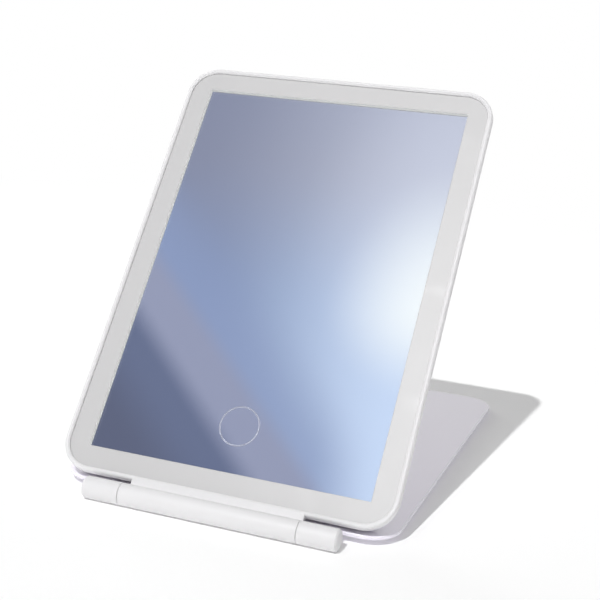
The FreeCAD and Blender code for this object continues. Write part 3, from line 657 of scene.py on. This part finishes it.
@dataclass(frozen=True)
class Palette:
    """The finish of each record slot, and of the scene's own pieces."""

    shell: MouldedPlastic = MouldedPlastic("shell_white_plastic")
    rim: MouldedPlastic = MouldedPlastic("rim_white_plastic", edge_radius=0.2 * MM)
    cover: CoverPlastic = CoverPlastic("cover_white_plastic", edge_radius=0.25 * MM)
    glass: ClearGlass = ClearGlass("clear_glass")
    silver: Silvering = Silvering("silvering")
    frost: FrostedPrint = FrostedPrint("frosted_band")
    # The etched ring and the milky plastic get a painted glow, which stands in for the light that
    # would reach them through the glass.
    ring: SoftPlain = SoftPlain("etched_ring", colour=tone(169, 171, 187),
                                shade=tone(165, 167, 184), painted_glow=0.42)
    rubber: SoftPlain = SoftPlain("clear_rubber", colour=grey(0.62),
                                  shade=(0.56, 0.56, 0.57, 1.0), roughness=0.45)
    milky: SoftPlain = SoftPlain("milky_plastic", colour=grey(0.8), shade=grey(0.77),
                                 roughness=0.5, painted_glow=0.43)
    tray: SoftPlain = SoftPlain("tray_white", colour=grey(0.82), shade=grey(0.79), roughness=0.5)
    tape: SoftPlain = SoftPlain("foam_tape", colour=grey(0.05), shade=grey(0.08), roughness=0.9)
    foam: SoftPlain = SoftPlain("conductive_foam", colour=(0.06, 0.06, 0.07, 1.0),
                                shade=(0.1, 0.1, 0.11, 1.0), roughness=0.85)
    lights: SoftPlain = SoftPlain("light_strip", colour=(0.75, 0.72, 0.5, 1.0),
                                  shade=(0.72, 0.72, 0.68, 1.0), roughness=0.4)
    battery: BrushedMetal = BrushedMetal("battery_foil", colour=(0.72, 0.72, 0.73, 1.0),
                                         roughness=0.35)
    pin: BrushedMetal = BrushedMetal("pin_steel")
    socket: BrushedMetal = BrushedMetal("socket_steel", colour=(0.66, 0.66, 0.67, 1.0),
                                        roughness=0.25)
    contact: BrushedMetal = BrushedMetal("contact_gold", colour=(0.85, 0.62, 0.28, 1.0),
                                         roughness=0.2)
    board: BoardLacquer = BoardLacquer("circuit_board")

    def by_slot(self) -> dict[Slot, Finish]:
        """Finish of each record slot.

        Returns:
            The finishes, by slot.
        """
        return {Slot.SHELL: self.shell, Slot.COVER: self.cover, Slot.FOOT: self.rubber,
                Slot.PIN: self.pin, Slot.GLASS: self.glass, Slot.SILVER: self.silver,
                Slot.TAPE: self.tape, Slot.MILKY: self.milky, Slot.TRAY: self.tray,
                Slot.LIGHTS: self.lights, Slot.FOAM: self.foam, Slot.BOARD: self.board,
                Slot.SOCKET: self.socket, Slot.BATTERY: self.battery}


@dataclass(frozen=True)
class PanelSpace:
    """The panel's own frame: x along the hinge, y up the mirror, z out of the glass."""

    matrix: Matrix

    @classmethod
    def of_plate(cls, node: Object) -> "PanelSpace":
        """Frame on the middle of a plate's upper face.

        Args:
            node: The CAD node of the plate.

        Returns:
            The frame.
        """
        face = max((p for p in node.data.polygons if p.normal.z > 0), key=lambda p: p.area)
        out = face.normal.normalized()
        right = Vector((1, 0, 0))
        up = out.cross(right).normalized()
        heights = [up.dot(v.co) for v in node.data.vertices]
        middle = up * ((min(heights) + max(heights)) / 2) + out * out.dot(face.center)
        turn = Matrix((right, up, out)).transposed()
        return cls(Matrix.Translation(middle) @ turn.to_4x4())

    def extent(self, name: str) -> tuple[Vector, Vector]:
        """Box of a CAD node in this frame.

        Args:
            name: Name of the node.

        Returns:
            Its lowest and its highest corner.
        """
        back = self.matrix.inverted()
        axes = list(zip(*(back @ v.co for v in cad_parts[name].data.vertices)))
        return Vector([min(axis) for axis in axes]), Vector([max(axis) for axis in axes])


class Sprout:
    """A piece grown by a node tree and kept as a plain mesh."""

    NUMBERS = {float: "NodeSocketFloat", int: "NodeSocketInt"}

    def __init__(self, name: str, values: dict[str, float | int | Material]) -> None:
        """Start an empty tree.

        Args:
            name: Name of the piece.
            values: Value of each input, among them its Material.
        """
        self.name = name
        self.values = values
        tree = bpy.data.node_groups.new(name, "GeometryNodeTree")
        sockets = tree.interface
        sockets.new_socket("Geometry", in_out="INPUT", socket_type="NodeSocketGeometry")
        for label, value in values.items():
            kind = self.NUMBERS.get(type(value), "NodeSocketMaterial")
            sockets.new_socket(label, in_out="INPUT", socket_type=kind)
        sockets.new_socket("Geometry", in_out="OUTPUT", socket_type="NodeSocketGeometry")
        self.graph = Graph(tree)
        self.takes = self.graph.add("NodeGroupInput").outputs
        self.gives = self.graph.add("NodeGroupOutput")

    def close(self, shape: NodeSocket) -> None:
        """End the tree: instances made real, then the material.

        Args:
            shape: What the tree has made.
        """
        real = self.graph.add("GeometryNodeRealizeInstances", {0: shape}).outputs[0]
        dressed = self.graph.add("GeometryNodeSetMaterial",
                                 {"Geometry": real, "Material": self.takes["Material"]})
        self.graph.feed(self.gives, {"Geometry": dressed.outputs[0]})

    def grow(self, seed: Mesh, place: Matrix, body: Body) -> Object:
        """Run the tree and keep its result as one piece.

        Args:
            seed: Mesh that the tree starts from.
            place: Where the result goes, applied to its mesh.
            body: Body that the piece rides on.

        Returns:
            The piece.
        """
        piece = put(self.name, seed)
        modifier = piece.modifiers.new("growth", "NODES")
        modifier.node_group = self.graph.tree
        for item in self.graph.tree.interface.items_tree:
            if item.in_out == "INPUT" and item.name in self.values:
                modifier[item.identifier] = self.values[item.name]
        evaluated = piece.evaluated_get(bpy.context.evaluated_depsgraph_get())
        grown = bpy.data.meshes.new_from_object(evaluated)
        piece.modifiers.remove(modifier)
        piece.data = grown
        grown.name = self.name
        grown.transform(place)
        settle(piece, body)
        return piece


@dataclass
class FrontFrame:
    """The moulded front frame, with its rim drawn to a soft bead."""

    space: PanelSpace
    plastic: Material
    corner: float = 15.0 * MM
    rim: float = 2.3 * MM
    crown: float = 1.3 * MM
    moulded_round: float = 0.8 * MM
    moulded_chamfer: float = 0.3 * MM
    bead_reach: float = 1.1 * MM
    bead_fall: float = 1.1 * MM
    slope_reach: float = 1.15 * MM
    slope_drop: float = 0.7 * MM
    slope_bulge: float = 0.5
    slope_cuts: int = 4
    smooth_below: float = 30.0
    slack: float = 0.02 * MM

    def inset(self, place: Vector, half: Vector) -> tuple[float, Vector]:
        """Depth of a point inside the frame's outline.

        Args:
            place: The point, in the panel's frame.
            half: Half the frame's width and length.

        Returns:
            The depth, and the way straight out.
        """
        past = Vector((abs(place.x) - half.x + self.corner, abs(place.y) - half.y + self.corner))
        if min(past) > 0:
            way, reach = past.normalized(), past.length
        else:
            way, reach = Vector((past.x > past.y, past.x <= past.y)), max(past)
        out = Vector((math.copysign(way.x, place.x), math.copysign(way.y, place.y), 0.0))
        return self.corner - reach, out

    def on_rim(self, place: Vector, half: Vector, fall: float) -> bool:
        """Tell whether a point lies on the rim.

        Args:
            place: The point, in the panel's frame.
            half: Half the frame's width and length.
            fall: How far below the rim's crown it may lie.

        Returns:
            True for a point of the rim.
        """
        depth = self.inset(place, half)[0]
        low, high = self.crown - fall - self.slack, self.crown + self.slack
        return -self.slack < depth < self.rim + self.slack and low < place.z < high

    def bead(self, depth: float, height: float) -> tuple[float, float]:
        """Where a point of the moulded rim's section lies on the bead.

        Args:
            depth: Its depth inside the outline.
            height: Its height over the glass.

        Returns:
            The new depth and height.
        """
        fall = self.crown - height
        if depth < self.rim / 2:
            turn = math.asin(max(0.0, min(1.0, 1 - fall / self.moulded_round)))
            drop = self.bead_fall * (1 - math.sin(turn))
            return self.bead_reach * (1 - math.cos(turn)), self.crown - drop
        share = max(0.0, min(1.0, fall / self.moulded_chamfer))
        drop = self.slope_drop * share ** (1 + self.slope_bulge)
        return self.rim - self.slope_reach * (1 - share), self.crown - drop

    def build(self) -> None:
        """Frame with the bead, in place of the plain one."""
        half = self.space.extent("front_frame")[1]
        shape = bmesh.new()
        shape.from_mesh(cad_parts["front_frame"].data)
        bmesh.ops.remove_doubles(shape, verts=shape.verts, dist=MERGE)
        shape.transform(self.space.matrix.inverted())
        inner = {v for v in shape.verts if self.on_rim(v.co, half, self.moulded_chamfer)
                 and self.inset(v.co, half)[0] > self.rim / 2}
        slope = [e for e in shape.edges if set(e.verts) <= inner
                 and abs(e.verts[0].co.z - e.verts[1].co.z) > self.moulded_chamfer / 2]
        bmesh.ops.subdivide_edges(shape, edges=slope, cuts=self.slope_cuts)
        for vertex in shape.verts:
            if self.on_rim(vertex.co, half, self.moulded_round):
                depth, way = self.inset(vertex.co, half)
                sunk, vertex.co.z = self.bead(depth, vertex.co.z)
                vertex.co -= way * (sunk - depth)
        shape.transform(self.space.matrix)
        mesh = plain_mesh("rim_frame", shape)
        mesh.attributes.remove(mesh.attributes["custom_normal"])
        mesh.shade_smooth()
        mesh.set_sharp_from_angle(angle=math.radians(self.smooth_below))
        mesh.materials.append(self.plastic)
        piece = put("rim_frame", mesh)
        settle(piece, Body.PANEL)
        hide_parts("front_frame")


@dataclass
class MirrorPlate:
    """The glass with its frosted band and the etched touch ring."""

    space: PanelSpace
    glass: Material
    frost: Material
    etch: Material
    corner: float = 12.55 * MM
    corner_steps: int = 12
    spread: float = 0.12 * MM
    arris: float = 0.08 * MM
    seat: float = 0.02 * MM
    lift: float = 0.004 * MM
    frost_depth: float = 0.02 * MM
    margin: float = 0.11 * MM
    reveal: float = 0.45 * MM
    ring_radius: float = 9.2 * MM
    ring_line: float = 0.7 * MM
    ring_depth: float = 0.04 * MM
    ring_steps: int = 128

    def build(self) -> None:
        """Make the plate, the band and the ring."""
        self.glass_plate()
        self.frosted_band()
        self.touch_ring()

    def outline(self, half_width: float, half_length: float, corner: float) -> list[Span]:
        """Points round a rectangle with round corners.

        Args:
            half_width: Half of its width.
            half_length: Half of its length.
            corner: Radius of its corners.

        Returns:
            The points, turning left.
        """
        points = []
        for quarter, (x_side, y_side) in enumerate(((1, 1), (-1, 1), (-1, -1), (1, -1))):
            for index in range(self.corner_steps + 1):
                angle = math.pi / 2 * (quarter + index / self.corner_steps)
                points.append((x_side * (half_width - corner) + corner * math.cos(angle),
                               y_side * (half_length - corner) + corner * math.sin(angle)))
        return points

    def glass_plate(self) -> None:
        """Clear plate with ground arrises, seated a hair off the silvering."""
        low, high = self.space.extent("mirror_glass")
        half_width = (high.x - low.x) / 2 + self.spread
        half_length = (high.y - low.y) / 2 + self.spread
        sole = low.z + self.seat
        levels = [(0.0, self.arris), (-self.arris, 0.0),
                  (sole + self.arris, 0.0), (sole, self.arris)]
        shape = bmesh.new()
        rings = []
        for level, inset in levels:
            corner = self.corner + self.spread - inset
            points = self.outline(half_width - inset, half_length - inset, corner)
            rings.append([shape.verts.new((x, y, level)) for x, y in points])
        shape.faces.new(rings[0])
        shape.faces.new(list(reversed(rings[-1])))
        for upper, lower in zip(rings, rings[1:]):
            for index in range(len(upper)):
                following = (index + 1) % len(upper)
                shape.faces.new((upper[following], upper[index], lower[index], lower[following]))
        bmesh.ops.recalc_face_normals(shape, faces=shape.faces)
        mesh = plain_mesh("glass_plate", shape)
        mesh.transform(self.space.matrix)
        mesh.materials.append(self.glass)
        plate = put("glass_plate", mesh)
        settle(plate, Body.PANEL)
        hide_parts("mirror_glass")

    @staticmethod
    def rectangle(graph: Graph, width: NodeSocket, height: NodeSocket) -> NodeSocket:
        """Rectangle of curves round the origin."""
        inputs = {"Width": width, "Height": height}
        return graph.add("GeometryNodeCurvePrimitiveQuadrilateral", inputs).outputs[0]

    def frosted_band(self) -> None:
        """Thin frosted layer on the glass, from its edge to the silvered field."""
        glass_low, glass_high = self.space.extent("mirror_glass")
        field_low, field_high = self.space.extent("mirror_film")
        sprout = Sprout("frosted_band", {
            "Width": glass_high.x - glass_low.x + 2 * self.margin,
            "Length": glass_high.y - glass_low.y + 2 * self.margin,
            "Corner": self.corner + self.margin,
            "Window Width": field_high.x - field_low.x + 2 * self.reveal,
            "Window Length": field_high.y - field_low.y + 2 * self.reveal,
            "Depth": self.frost_depth,
            "Material": self.frost})
        graph, takes = sprout.graph, sprout.takes
        outline = self.rectangle(graph, takes["Width"], takes["Length"])
        rounded = graph.add("GeometryNodeFilletCurve",
                            {"Curve": outline, "Radius": takes["Corner"],
                             "Count": self.corner_steps}, mode="POLY")
        window = self.rectangle(graph, takes["Window Width"], takes["Window Length"])
        both = graph.join(rounded.outputs[0], window)
        sheet = graph.add("GeometryNodeFillCurve", {0: both}, mode="TRIANGLES").outputs[0]
        raised = graph.add("GeometryNodeExtrudeMesh",
                           {"Mesh": sheet, "Offset Scale": takes["Depth"], "Individual": False},
                           mode="FACES")
        under = graph.add("GeometryNodeFlipFaces", {0: sheet})
        sprout.close(graph.join(raised.outputs[0], under.outputs[0]))
        place = self.space.matrix @ Matrix.Translation((0, 0, self.lift))
        sprout.grow(bpy.data.meshes.new("frosted_band"), place, Body.PANEL)

    def touch_ring(self) -> None:
        """Fine line that fills the ring etched in the silvering."""
        pad_low, pad_high = self.space.extent("touch_pad")
        film_high = self.space.extent("mirror_film")[1]
        sprout = Sprout("touch_ring", {"Radius": self.ring_radius, "Line": self.ring_line,
                                       "Depth": self.ring_depth, "Material": self.etch})
        graph, takes = sprout.graph, sprout.takes
        path = graph.add("GeometryNodeCurvePrimitiveCircle",
                         {"Resolution": self.ring_steps, "Radius": takes["Radius"]})
        section = self.rectangle(graph, takes["Line"], takes["Depth"])
        band = graph.add("GeometryNodeCurveToMesh", {"Curve": path.outputs[0],
                                                     "Profile Curve": section, "Fill Caps": True})
        sprout.close(band.outputs[0])
        middle = (pad_low + pad_high) / 2
        middle.z = film_high.z - self.ring_depth / 2 - self.lift
        place = self.space.matrix @ Matrix.Translation(middle)
        sprout.grow(bpy.data.meshes.new("touch_ring"), place, Body.PANEL)


@dataclass
class ChargePort:
    """Contacts on the tongue of the charging socket."""

    space: PanelSpace
    gold: Material
    count: int = 12
    pitch: float = 0.5 * MM
    width: float = 0.26 * MM
    length: float = 3.4 * MM
    proud: float = 0.04 * MM
    tongue_thickness: float = 0.7 * MM
    tongue_start: float = 1.6 * MM
    setback: float = 0.5 * MM

    def finger(self) -> Mesh:
        """One contact, with its leading end chamfered.

        Returns:
            The contact, round the origin.
        """
        shape = bmesh.new()
        bmesh.ops.create_cube(shape, size=1.0)
        bmesh.ops.scale(shape, vec=(self.length, self.width, self.proud), verts=shape.verts)
        front = [v for v in shape.verts if v.co.x < 0 and v.co.z > 0]
        bmesh.ops.translate(shape, vec=(self.proud, 0, 0), verts=front)
        return plain_mesh("socket_contacts", shape)

    def build(self) -> None:
        """A row of contacts on each face of the tongue."""
        low, high = self.space.extent("charge_socket")
        sprout = Sprout("socket_contacts", {"Count": self.count, "Pitch": self.pitch,
                                            "Rise": self.tongue_thickness / 2 + self.proud / 2,
                                            "Material": self.gold})
        graph, takes = sprout.graph, sprout.takes
        stride = graph.add("ShaderNodeCombineXYZ", {"Y": takes["Pitch"]})
        row = graph.add("GeometryNodeMeshLine",
                        {"Count": takes["Count"], "Offset": stride.outputs[0]})
        run = graph.calc("MULTIPLY", graph.calc("SUBTRACT", takes["Count"], 1.0), takes["Pitch"])
        half_back = graph.calc("MULTIPLY", run, -0.5)
        start = graph.add("ShaderNodeCombineXYZ", {"Y": half_back, "Z": takes["Rise"]})
        centred = graph.add("GeometryNodeTransform",
                            {"Geometry": row.outputs[0], "Translation": start.outputs[0]})
        upper = graph.add("GeometryNodeInstanceOnPoints",
                          {"Points": centred.outputs[0], "Instance": takes["Geometry"]})
        lower = graph.add("GeometryNodeTransform",
                          {"Geometry": upper.outputs[0], "Rotation": (math.pi, 0.0, 0.0)})
        sprout.close(graph.join(upper.outputs[0], lower.outputs[0]))
        middle = (low + high) / 2
        middle.x = low.x + self.tongue_start + self.setback + self.length / 2
        place = self.space.matrix @ Matrix.Translation(middle)
        sprout.grow(self.finger(), place, Body.PANEL)


@dataclass
class CoverFeet:
    """The four soft feet of the folded-back cover."""

    rubber: Material
    dome_start: float = 0.55
    steps: int = 7
    around: int = 40
    nodes: tuple[str, ...] = ("foot_front_left", "foot_front_right",
                              "foot_rear_left", "foot_rear_right")

    def bumper(self, radius: float, height: float) -> Mesh:
        """A bumper with a straight root and a rounded sole, root upwards.

        Args:
            radius: Radius at the root.
            height: Height from the sole to the root.

        Returns:
            The closed mesh, sole at z = 0.
        """
        shape = bmesh.new()
        drop = height * self.dome_start
        profile = [(0.0, 0.0)]
        for index in range(self.steps + 1):
            angle = math.pi / 2 * index / self.steps
            profile.append((radius - drop * (1 - math.sin(angle)), drop * (1 - math.cos(angle))))
        profile += [(radius, height), (0.0, height)]
        spots = [shape.verts.new((x, 0.0, z)) for x, z in profile]
        edges = [shape.edges.new(pair) for pair in zip(spots, spots[1:])]
        bmesh.ops.spin(shape, geom=spots + edges, axis=(0, 0, 1), cent=(0, 0, 0),
                       angle=2 * math.pi, steps=self.around, use_duplicate=False)
        bmesh.ops.remove_doubles(shape, verts=shape.verts, dist=MERGE)
        bmesh.ops.recalc_face_normals(shape, faces=shape.faces)
        for face in shape.faces:
            face.smooth = True
        return plain_mesh("rubber_feet", shape)

    def build(self) -> None:
        """Four bumpers on a two-by-two grid in place of the plain feet."""
        boxes = [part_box(name) for name in self.nodes]
        middles = [(low + high) / 2 for low, high in boxes]
        low, high = boxes[0]
        spread_x = max(m.x for m in middles) - min(m.x for m in middles)
        spread_y = max(m.y for m in middles) - min(m.y for m in middles)
        centre = sum(middles, Vector()) / len(middles)
        sprout = Sprout("rubber_feet", {"Spread X": spread_x, "Spread Y": spread_y,
                                        "Material": self.rubber})
        graph, takes = sprout.graph, sprout.takes
        spots = graph.add("GeometryNodeMeshGrid",
                          {"Size X": takes["Spread X"], "Size Y": takes["Spread Y"],
                           "Vertices X": 2, "Vertices Y": 2})
        feet = graph.add("GeometryNodeInstanceOnPoints",
                         {"Points": spots.outputs[0], "Instance": takes["Geometry"]})
        sprout.close(feet.outputs[0])
        seed = self.bumper((high.x - low.x) / 2, high.z - low.z)
        place = Matrix.Translation((centre.x, centre.y, low.z))
        piece = sprout.grow(seed, place, Body.COVER)
        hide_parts(*self.nodes)


def stage_sheet(name: str, corners: list[Vector]) -> Object:
    """Four-cornered sheet of the stage.

    Args:
        name: Name of the sheet.
        corners: Its corners in order.

    Returns:
        The sheet.
    """
    mesh = bpy.data.meshes.new(name)
    mesh.from_pydata([tuple(c) for c in corners], [], [(0, 1, 2, 3)])
    sheet = put(name, mesh)
    return sheet


def bare_graph(name: str, sheet: Object) -> Graph:
    """Start a sheet's material, without the usual shader.

    Args:
        name: Name of the material.
        sheet: The sheet that gets it.

    Returns:
        The material's graph.
    """
    material = bpy.data.materials.new(name)
    material.use_nodes = True
    sheet.data.materials.append(material)
    graph = Graph(material.node_tree)
    graph.tree.nodes.remove(graph.tree.nodes["Principled BSDF"])
    return graph


@dataclass(frozen=True)
class ReflectedCeiling:
    """Painted reflection: a soft coloured ceiling that only the mirror and the gloss see.

    Places on it count from 0 to 1 across and up what the camera sees in the mirror field, and
    slanting ones are the place across plus the lean times the place up.
    """

    space: PanelSpace
    eye: Triple
    distance: float = 1.5
    gain: float = 1.1
    overhang: float = 0.5
    upper: tuple[Colour, Colour] = (tone(140, 144, 167), tone(195, 197, 215))
    upper_run: Span = (-0.02, 1.08)
    lower: tuple[Colour, Colour] = (tone(137, 150, 184), tone(207, 222, 249))
    lower_run: Span = (0.15, 1.12)
    lower_edge: Span = (0.85, 0.4)
    haze: Colour = tone(222, 225, 240)
    haze_place: Span = (1.0, 0.72)
    haze_radius: float = 0.55
    haze_share: float = 0.4
    window: Colour = tone(251, 253, 255)
    window_place: Span = (1.06, 0.47)
    window_radius: float = 0.42
    window_squeeze: float = -1.7
    lean: float = 1.6
    near: Colour = tone(145, 158, 194)
    near_edge: Span = (1.25, 0.85)
    near_side: Span = (1.05, 0.75)
    near_share: float = 0.8
    band: Colour = tone(153, 157, 183)
    band_edge: Span = (0.88, 0.75)
    dusk: tuple[Colour, Colour] = (tone(99, 104, 128), tone(108, 116, 145))
    dusk_run: Span = (0.15, 0.45)
    dusk_edge: Span = (0.64, 0.49)
    middle: float = 0.5
    border: Span = (0.6, 0.95)

    def build(self) -> None:
        """Hang the sheet where the camera sees it in the mirror."""
        low, high = self.space.extent("mirror_film")
        eye = self.space.matrix.inverted() @ Vector(self.eye)
        reach = (self.distance + eye.z - 2 * high.z) / (eye.z - high.z)
        start, end = -self.overhang, 1 + self.overhang
        spread = [(start, start), (end, start), (end, end), (start, end)]
        corners = []
        for across, up in spread:
            x = low.x + across * (high.x - low.x)
            y = low.y + up * (high.y - low.y)
            spot = (eye.x + (x - eye.x) * reach, eye.y + (y - eye.y) * reach, self.distance)
            corners.append(self.space.matrix @ Vector(spot))
        sheet = stage_sheet("ceiling", corners)
        layer = sheet.data.uv_layers.new(name="field")
        for loop, place in zip(layer.data, spread):
            loop.uv = place
        sheet.visible_camera = False
        sheet.visible_diffuse = False
        sheet.visible_shadow = False
        graph = bare_graph("ceiling_glow", sheet)
        glow = graph.add("ShaderNodeEmission", {"Color": self.colour(graph), "Strength": self.gain})
        graph.feed(graph.tree.nodes["Material Output"], {"Surface": glow.outputs[0]})

    def colour(self, graph: Graph) -> NodeSocket:
        """Painted reflection of grey-lavender to blue, a bright window, a darker corner, and white
        at the borders.

        Args:
            graph: The ceiling's graph.

        Returns:
            The colour over the ceiling.
        """
        parts = graph.split(graph.add("ShaderNodeUVMap", uv_map="field").outputs[0])
        across, up = parts["X"], parts["Y"]
        upper = graph.blend(graph.step(across, *self.upper_run), *self.upper)
        lower = graph.blend(graph.step(across, *self.lower_run), *self.lower)
        colour = graph.blend(graph.step(up, *self.lower_edge), upper, lower)
        rise = graph.calc("SUBTRACT", up, self.haze_place[1])
        haze = self.spot(graph, across, rise, self.haze_place[0], self.haze_radius)
        colour = graph.blend(graph.calc("MULTIPLY", haze, self.haze_share), colour, self.haze)
        rise = graph.calc("SUBTRACT", up, self.window_place[1])
        rise = graph.calc("MAXIMUM", rise, graph.calc("MULTIPLY", rise, self.window_squeeze))
        window = self.spot(graph, across, rise, self.window_place[0], self.window_radius)
        colour = graph.blend(window, colour, self.window)
        slant = graph.calc("ADD", across, graph.calc("MULTIPLY", up, self.lean))
        near = graph.calc("MULTIPLY", graph.step(slant, *self.near_edge),
                          graph.step(across, *self.near_side))
        colour = graph.blend(graph.calc("MULTIPLY", near, self.near_share), colour, self.near)
        colour = graph.blend(graph.step(slant, *self.band_edge), colour, self.band)
        dusk = graph.blend(graph.step(slant, *self.dusk_run), *self.dusk)
        colour = graph.blend(graph.step(slant, *self.dusk_edge), colour, dusk)
        from_middle = [graph.calc("ABSOLUTE", graph.calc("SUBTRACT", place, self.middle))
                       for place in (across, up)]
        margin = graph.calc("MAXIMUM", *from_middle)
        return graph.blend(graph.step(margin, *self.border), colour, grey(1.0 / self.gain))

    @staticmethod
    def spot(graph: Graph, across: NodeSocket, rise: NodeSocket, centre: float,
             radius: float) -> NodeSocket:
        """Soft round spot, 1 in its middle.

        Args:
            graph: The ceiling's graph.
            across: Place across the field.
            rise: Height over the spot's middle.
            centre: Place of the middle across the field.
            radius: Where the spot has faded out.

        Returns:
            The mask.
        """
        side = graph.calc("SUBTRACT", across, centre)
        squares = graph.calc("ADD", graph.calc("MULTIPLY", side, side),
                             graph.calc("MULTIPLY", rise, rise))
        return graph.step(graph.calc("SQRT", squares), radius, 0.0)


@dataclass
class Studio:
    """Floor, light, reflected ceiling and camera."""

    space: PanelSpace
    eye: Triple = (0.1913, -0.5727, 0.2192)
    right: Triple = (0.9386, 0.3377, 0.0714)
    down: Triple = (0.14343, -0.19345, -0.97057)
    lens: float = 74.29
    sensor: float = 36.0
    nearest: float = 0.01
    key_travel: Triple = (0.19, 0.957, -1.382)
    key_energy: float = 2.02
    key_angle: float = 1.0
    side_place: Triple = (-1.55, 1.05, 0.78)
    side_size: float = 1.1
    side_energy: float = 6.5
    fill_low: float = 0.36
    fill_high: float = 0.43
    floor_half: float = 4.0
    floor_colour: Colour = grey(0.92)
    floor_lift: float = 0.09
    floor_bounce: float = 0.2
    fade: Span = (0.35, 0.9)

    def build(self) -> None:
        """Set up everything that isn't the object."""
        self.camera()
        self.lamps()
        self.surroundings()
        self.floor()
        ReflectedCeiling(self.space, self.eye).build()

    def camera(self) -> None:
        """Camera at the photograph's place."""
        data = bpy.data.cameras.new("camera")
        data.lens = self.lens
        data.sensor_width = self.sensor
        data.clip_start = self.nearest
        camera = put("camera", data)
        across = Vector(self.right).normalized()
        up = -Vector(self.down)
        upward = (up - across * across.dot(up)).normalized()
        turn = Matrix((across, upward, across.cross(upward))).transposed()
        camera.matrix_world = Matrix.Translation(self.eye) @ turn.to_4x4()
        bpy.context.scene.camera = camera

    @staticmethod
    def lamp(name: str, kind: str, energy: float, aim: Vector) -> Object:
        """Lamp that shines one way.

        Args:
            name: Name of the lamp.
            kind: Blender's kind of lamp.
            energy: Its energy.
            aim: The way that it shines.

        Returns:
            The lamp.
        """
        data = bpy.data.lights.new(name, kind)
        data.energy = energy
        lamp = put(name, data)
        lamp.rotation_mode = "QUATERNION"
        lamp.rotation_quaternion = aim.to_track_quat("-Z", "Y")
        return lamp

    def lamps(self) -> None:
        """Small distant key for the crisp shadow, and a large weak lamp behind the left."""
        key = self.lamp("key", "SUN", self.key_energy, Vector(self.key_travel))
        key.data.angle = math.radians(self.key_angle)
        side = self.lamp("side", "AREA", self.side_energy, -Vector(self.side_place))
        side.data.size = self.side_size
        side.location = self.side_place
        side.visible_glossy = False

    def surroundings(self) -> None:
        """White surroundings that give a soft fill, a little stronger from above."""
        world = bpy.data.worlds.new("surroundings")
        world.use_nodes = True
        bpy.context.scene.world = world
        graph = Graph(world.node_tree)
        shown = graph.seen_directly()
        height = graph.split(graph.place("Generated"))["Z"]
        fill = graph.mix(height, self.fill_low, self.fill_high)
        graph.feed(graph.tree.nodes["Background"],
                   {"Color": grey(1.0), "Strength": graph.mix(shown, fill, 1.0)})

    def floor(self) -> None:
        """White floor that keeps the shadow and fades into the surroundings."""
        signs = ((-1, -1), (1, -1), (1, 1), (-1, 1))
        sheet = stage_sheet("floor", [Vector((x, y, 0)) * self.floor_half for x, y in signs])
        graph = bare_graph("floor_white", sheet)
        shown = graph.seen_directly()
        dull = graph.add("ShaderNodeBsdfDiffuse", {"Color": self.floor_colour})
        glow = graph.mix(shown, self.floor_bounce, self.floor_lift)
        lift = graph.add("ShaderNodeEmission", {"Strength": glow})
        lit = graph.add("ShaderNodeAddShader", {0: dull.outputs[0], 1: lift.outputs[0]})
        reach = graph.measure("LENGTH", graph.place())
        far = graph.calc("MULTIPLY", graph.step(reach, *self.fade), shown)
        white = graph.add("ShaderNodeEmission", {"Strength": 1.0})
        whole = graph.add("ShaderNodeMixShader", {0: far, 1: lit.outputs[0], 2: white.outputs[0]})
        graph.feed(graph.tree.nodes["Material Output"], {"Surface": whole.outputs[0]})


def dress_nodes(palette: Palette, effects: Effects) -> dict[Finish, Material]:
    """Give every CAD node the material of its record slot.

    Args:
        palette: The finishes.
        effects: The shared shader groups.

    Returns:
        The materials made, by finish.
    """
    finishes = palette.by_slot()
    made = {finish: finish.make(effects) for finish in finishes.values()}
    materials = {slot.value: made[finish] for slot, finish in finishes.items()}
    for name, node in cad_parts.items():
        for holder in node.material_slots:
            holder.material = materials[holder.material.name.split(".")[0]]
        LOG.info("%s wears %s", name, node.material_slots[0].material.name)
    return made


def main() -> None:
    """Dress the frame, add the small pieces and set the stage."""
    logging.basicConfig(level=logging.INFO, format="%(name)s: %(message)s")
    bpy.context.scene.view_settings.view_transform = "Standard"
    palette = Palette()
    effects = Effects()
    made = dress_nodes(palette, effects)
    space = PanelSpace.of_plate(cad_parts["mirror_glass"])
    FrontFrame(space, palette.rim.make(effects)).build()
    MirrorPlate(space, made[palette.glass], palette.frost.make(effects),
                palette.ring.make(effects)).build()
    ChargePort(space, palette.contact.make(effects)).build()
    CoverFeet(made[palette.rubber]).build()
    Studio(space).build()


if __name__ == "__main__":
    main()
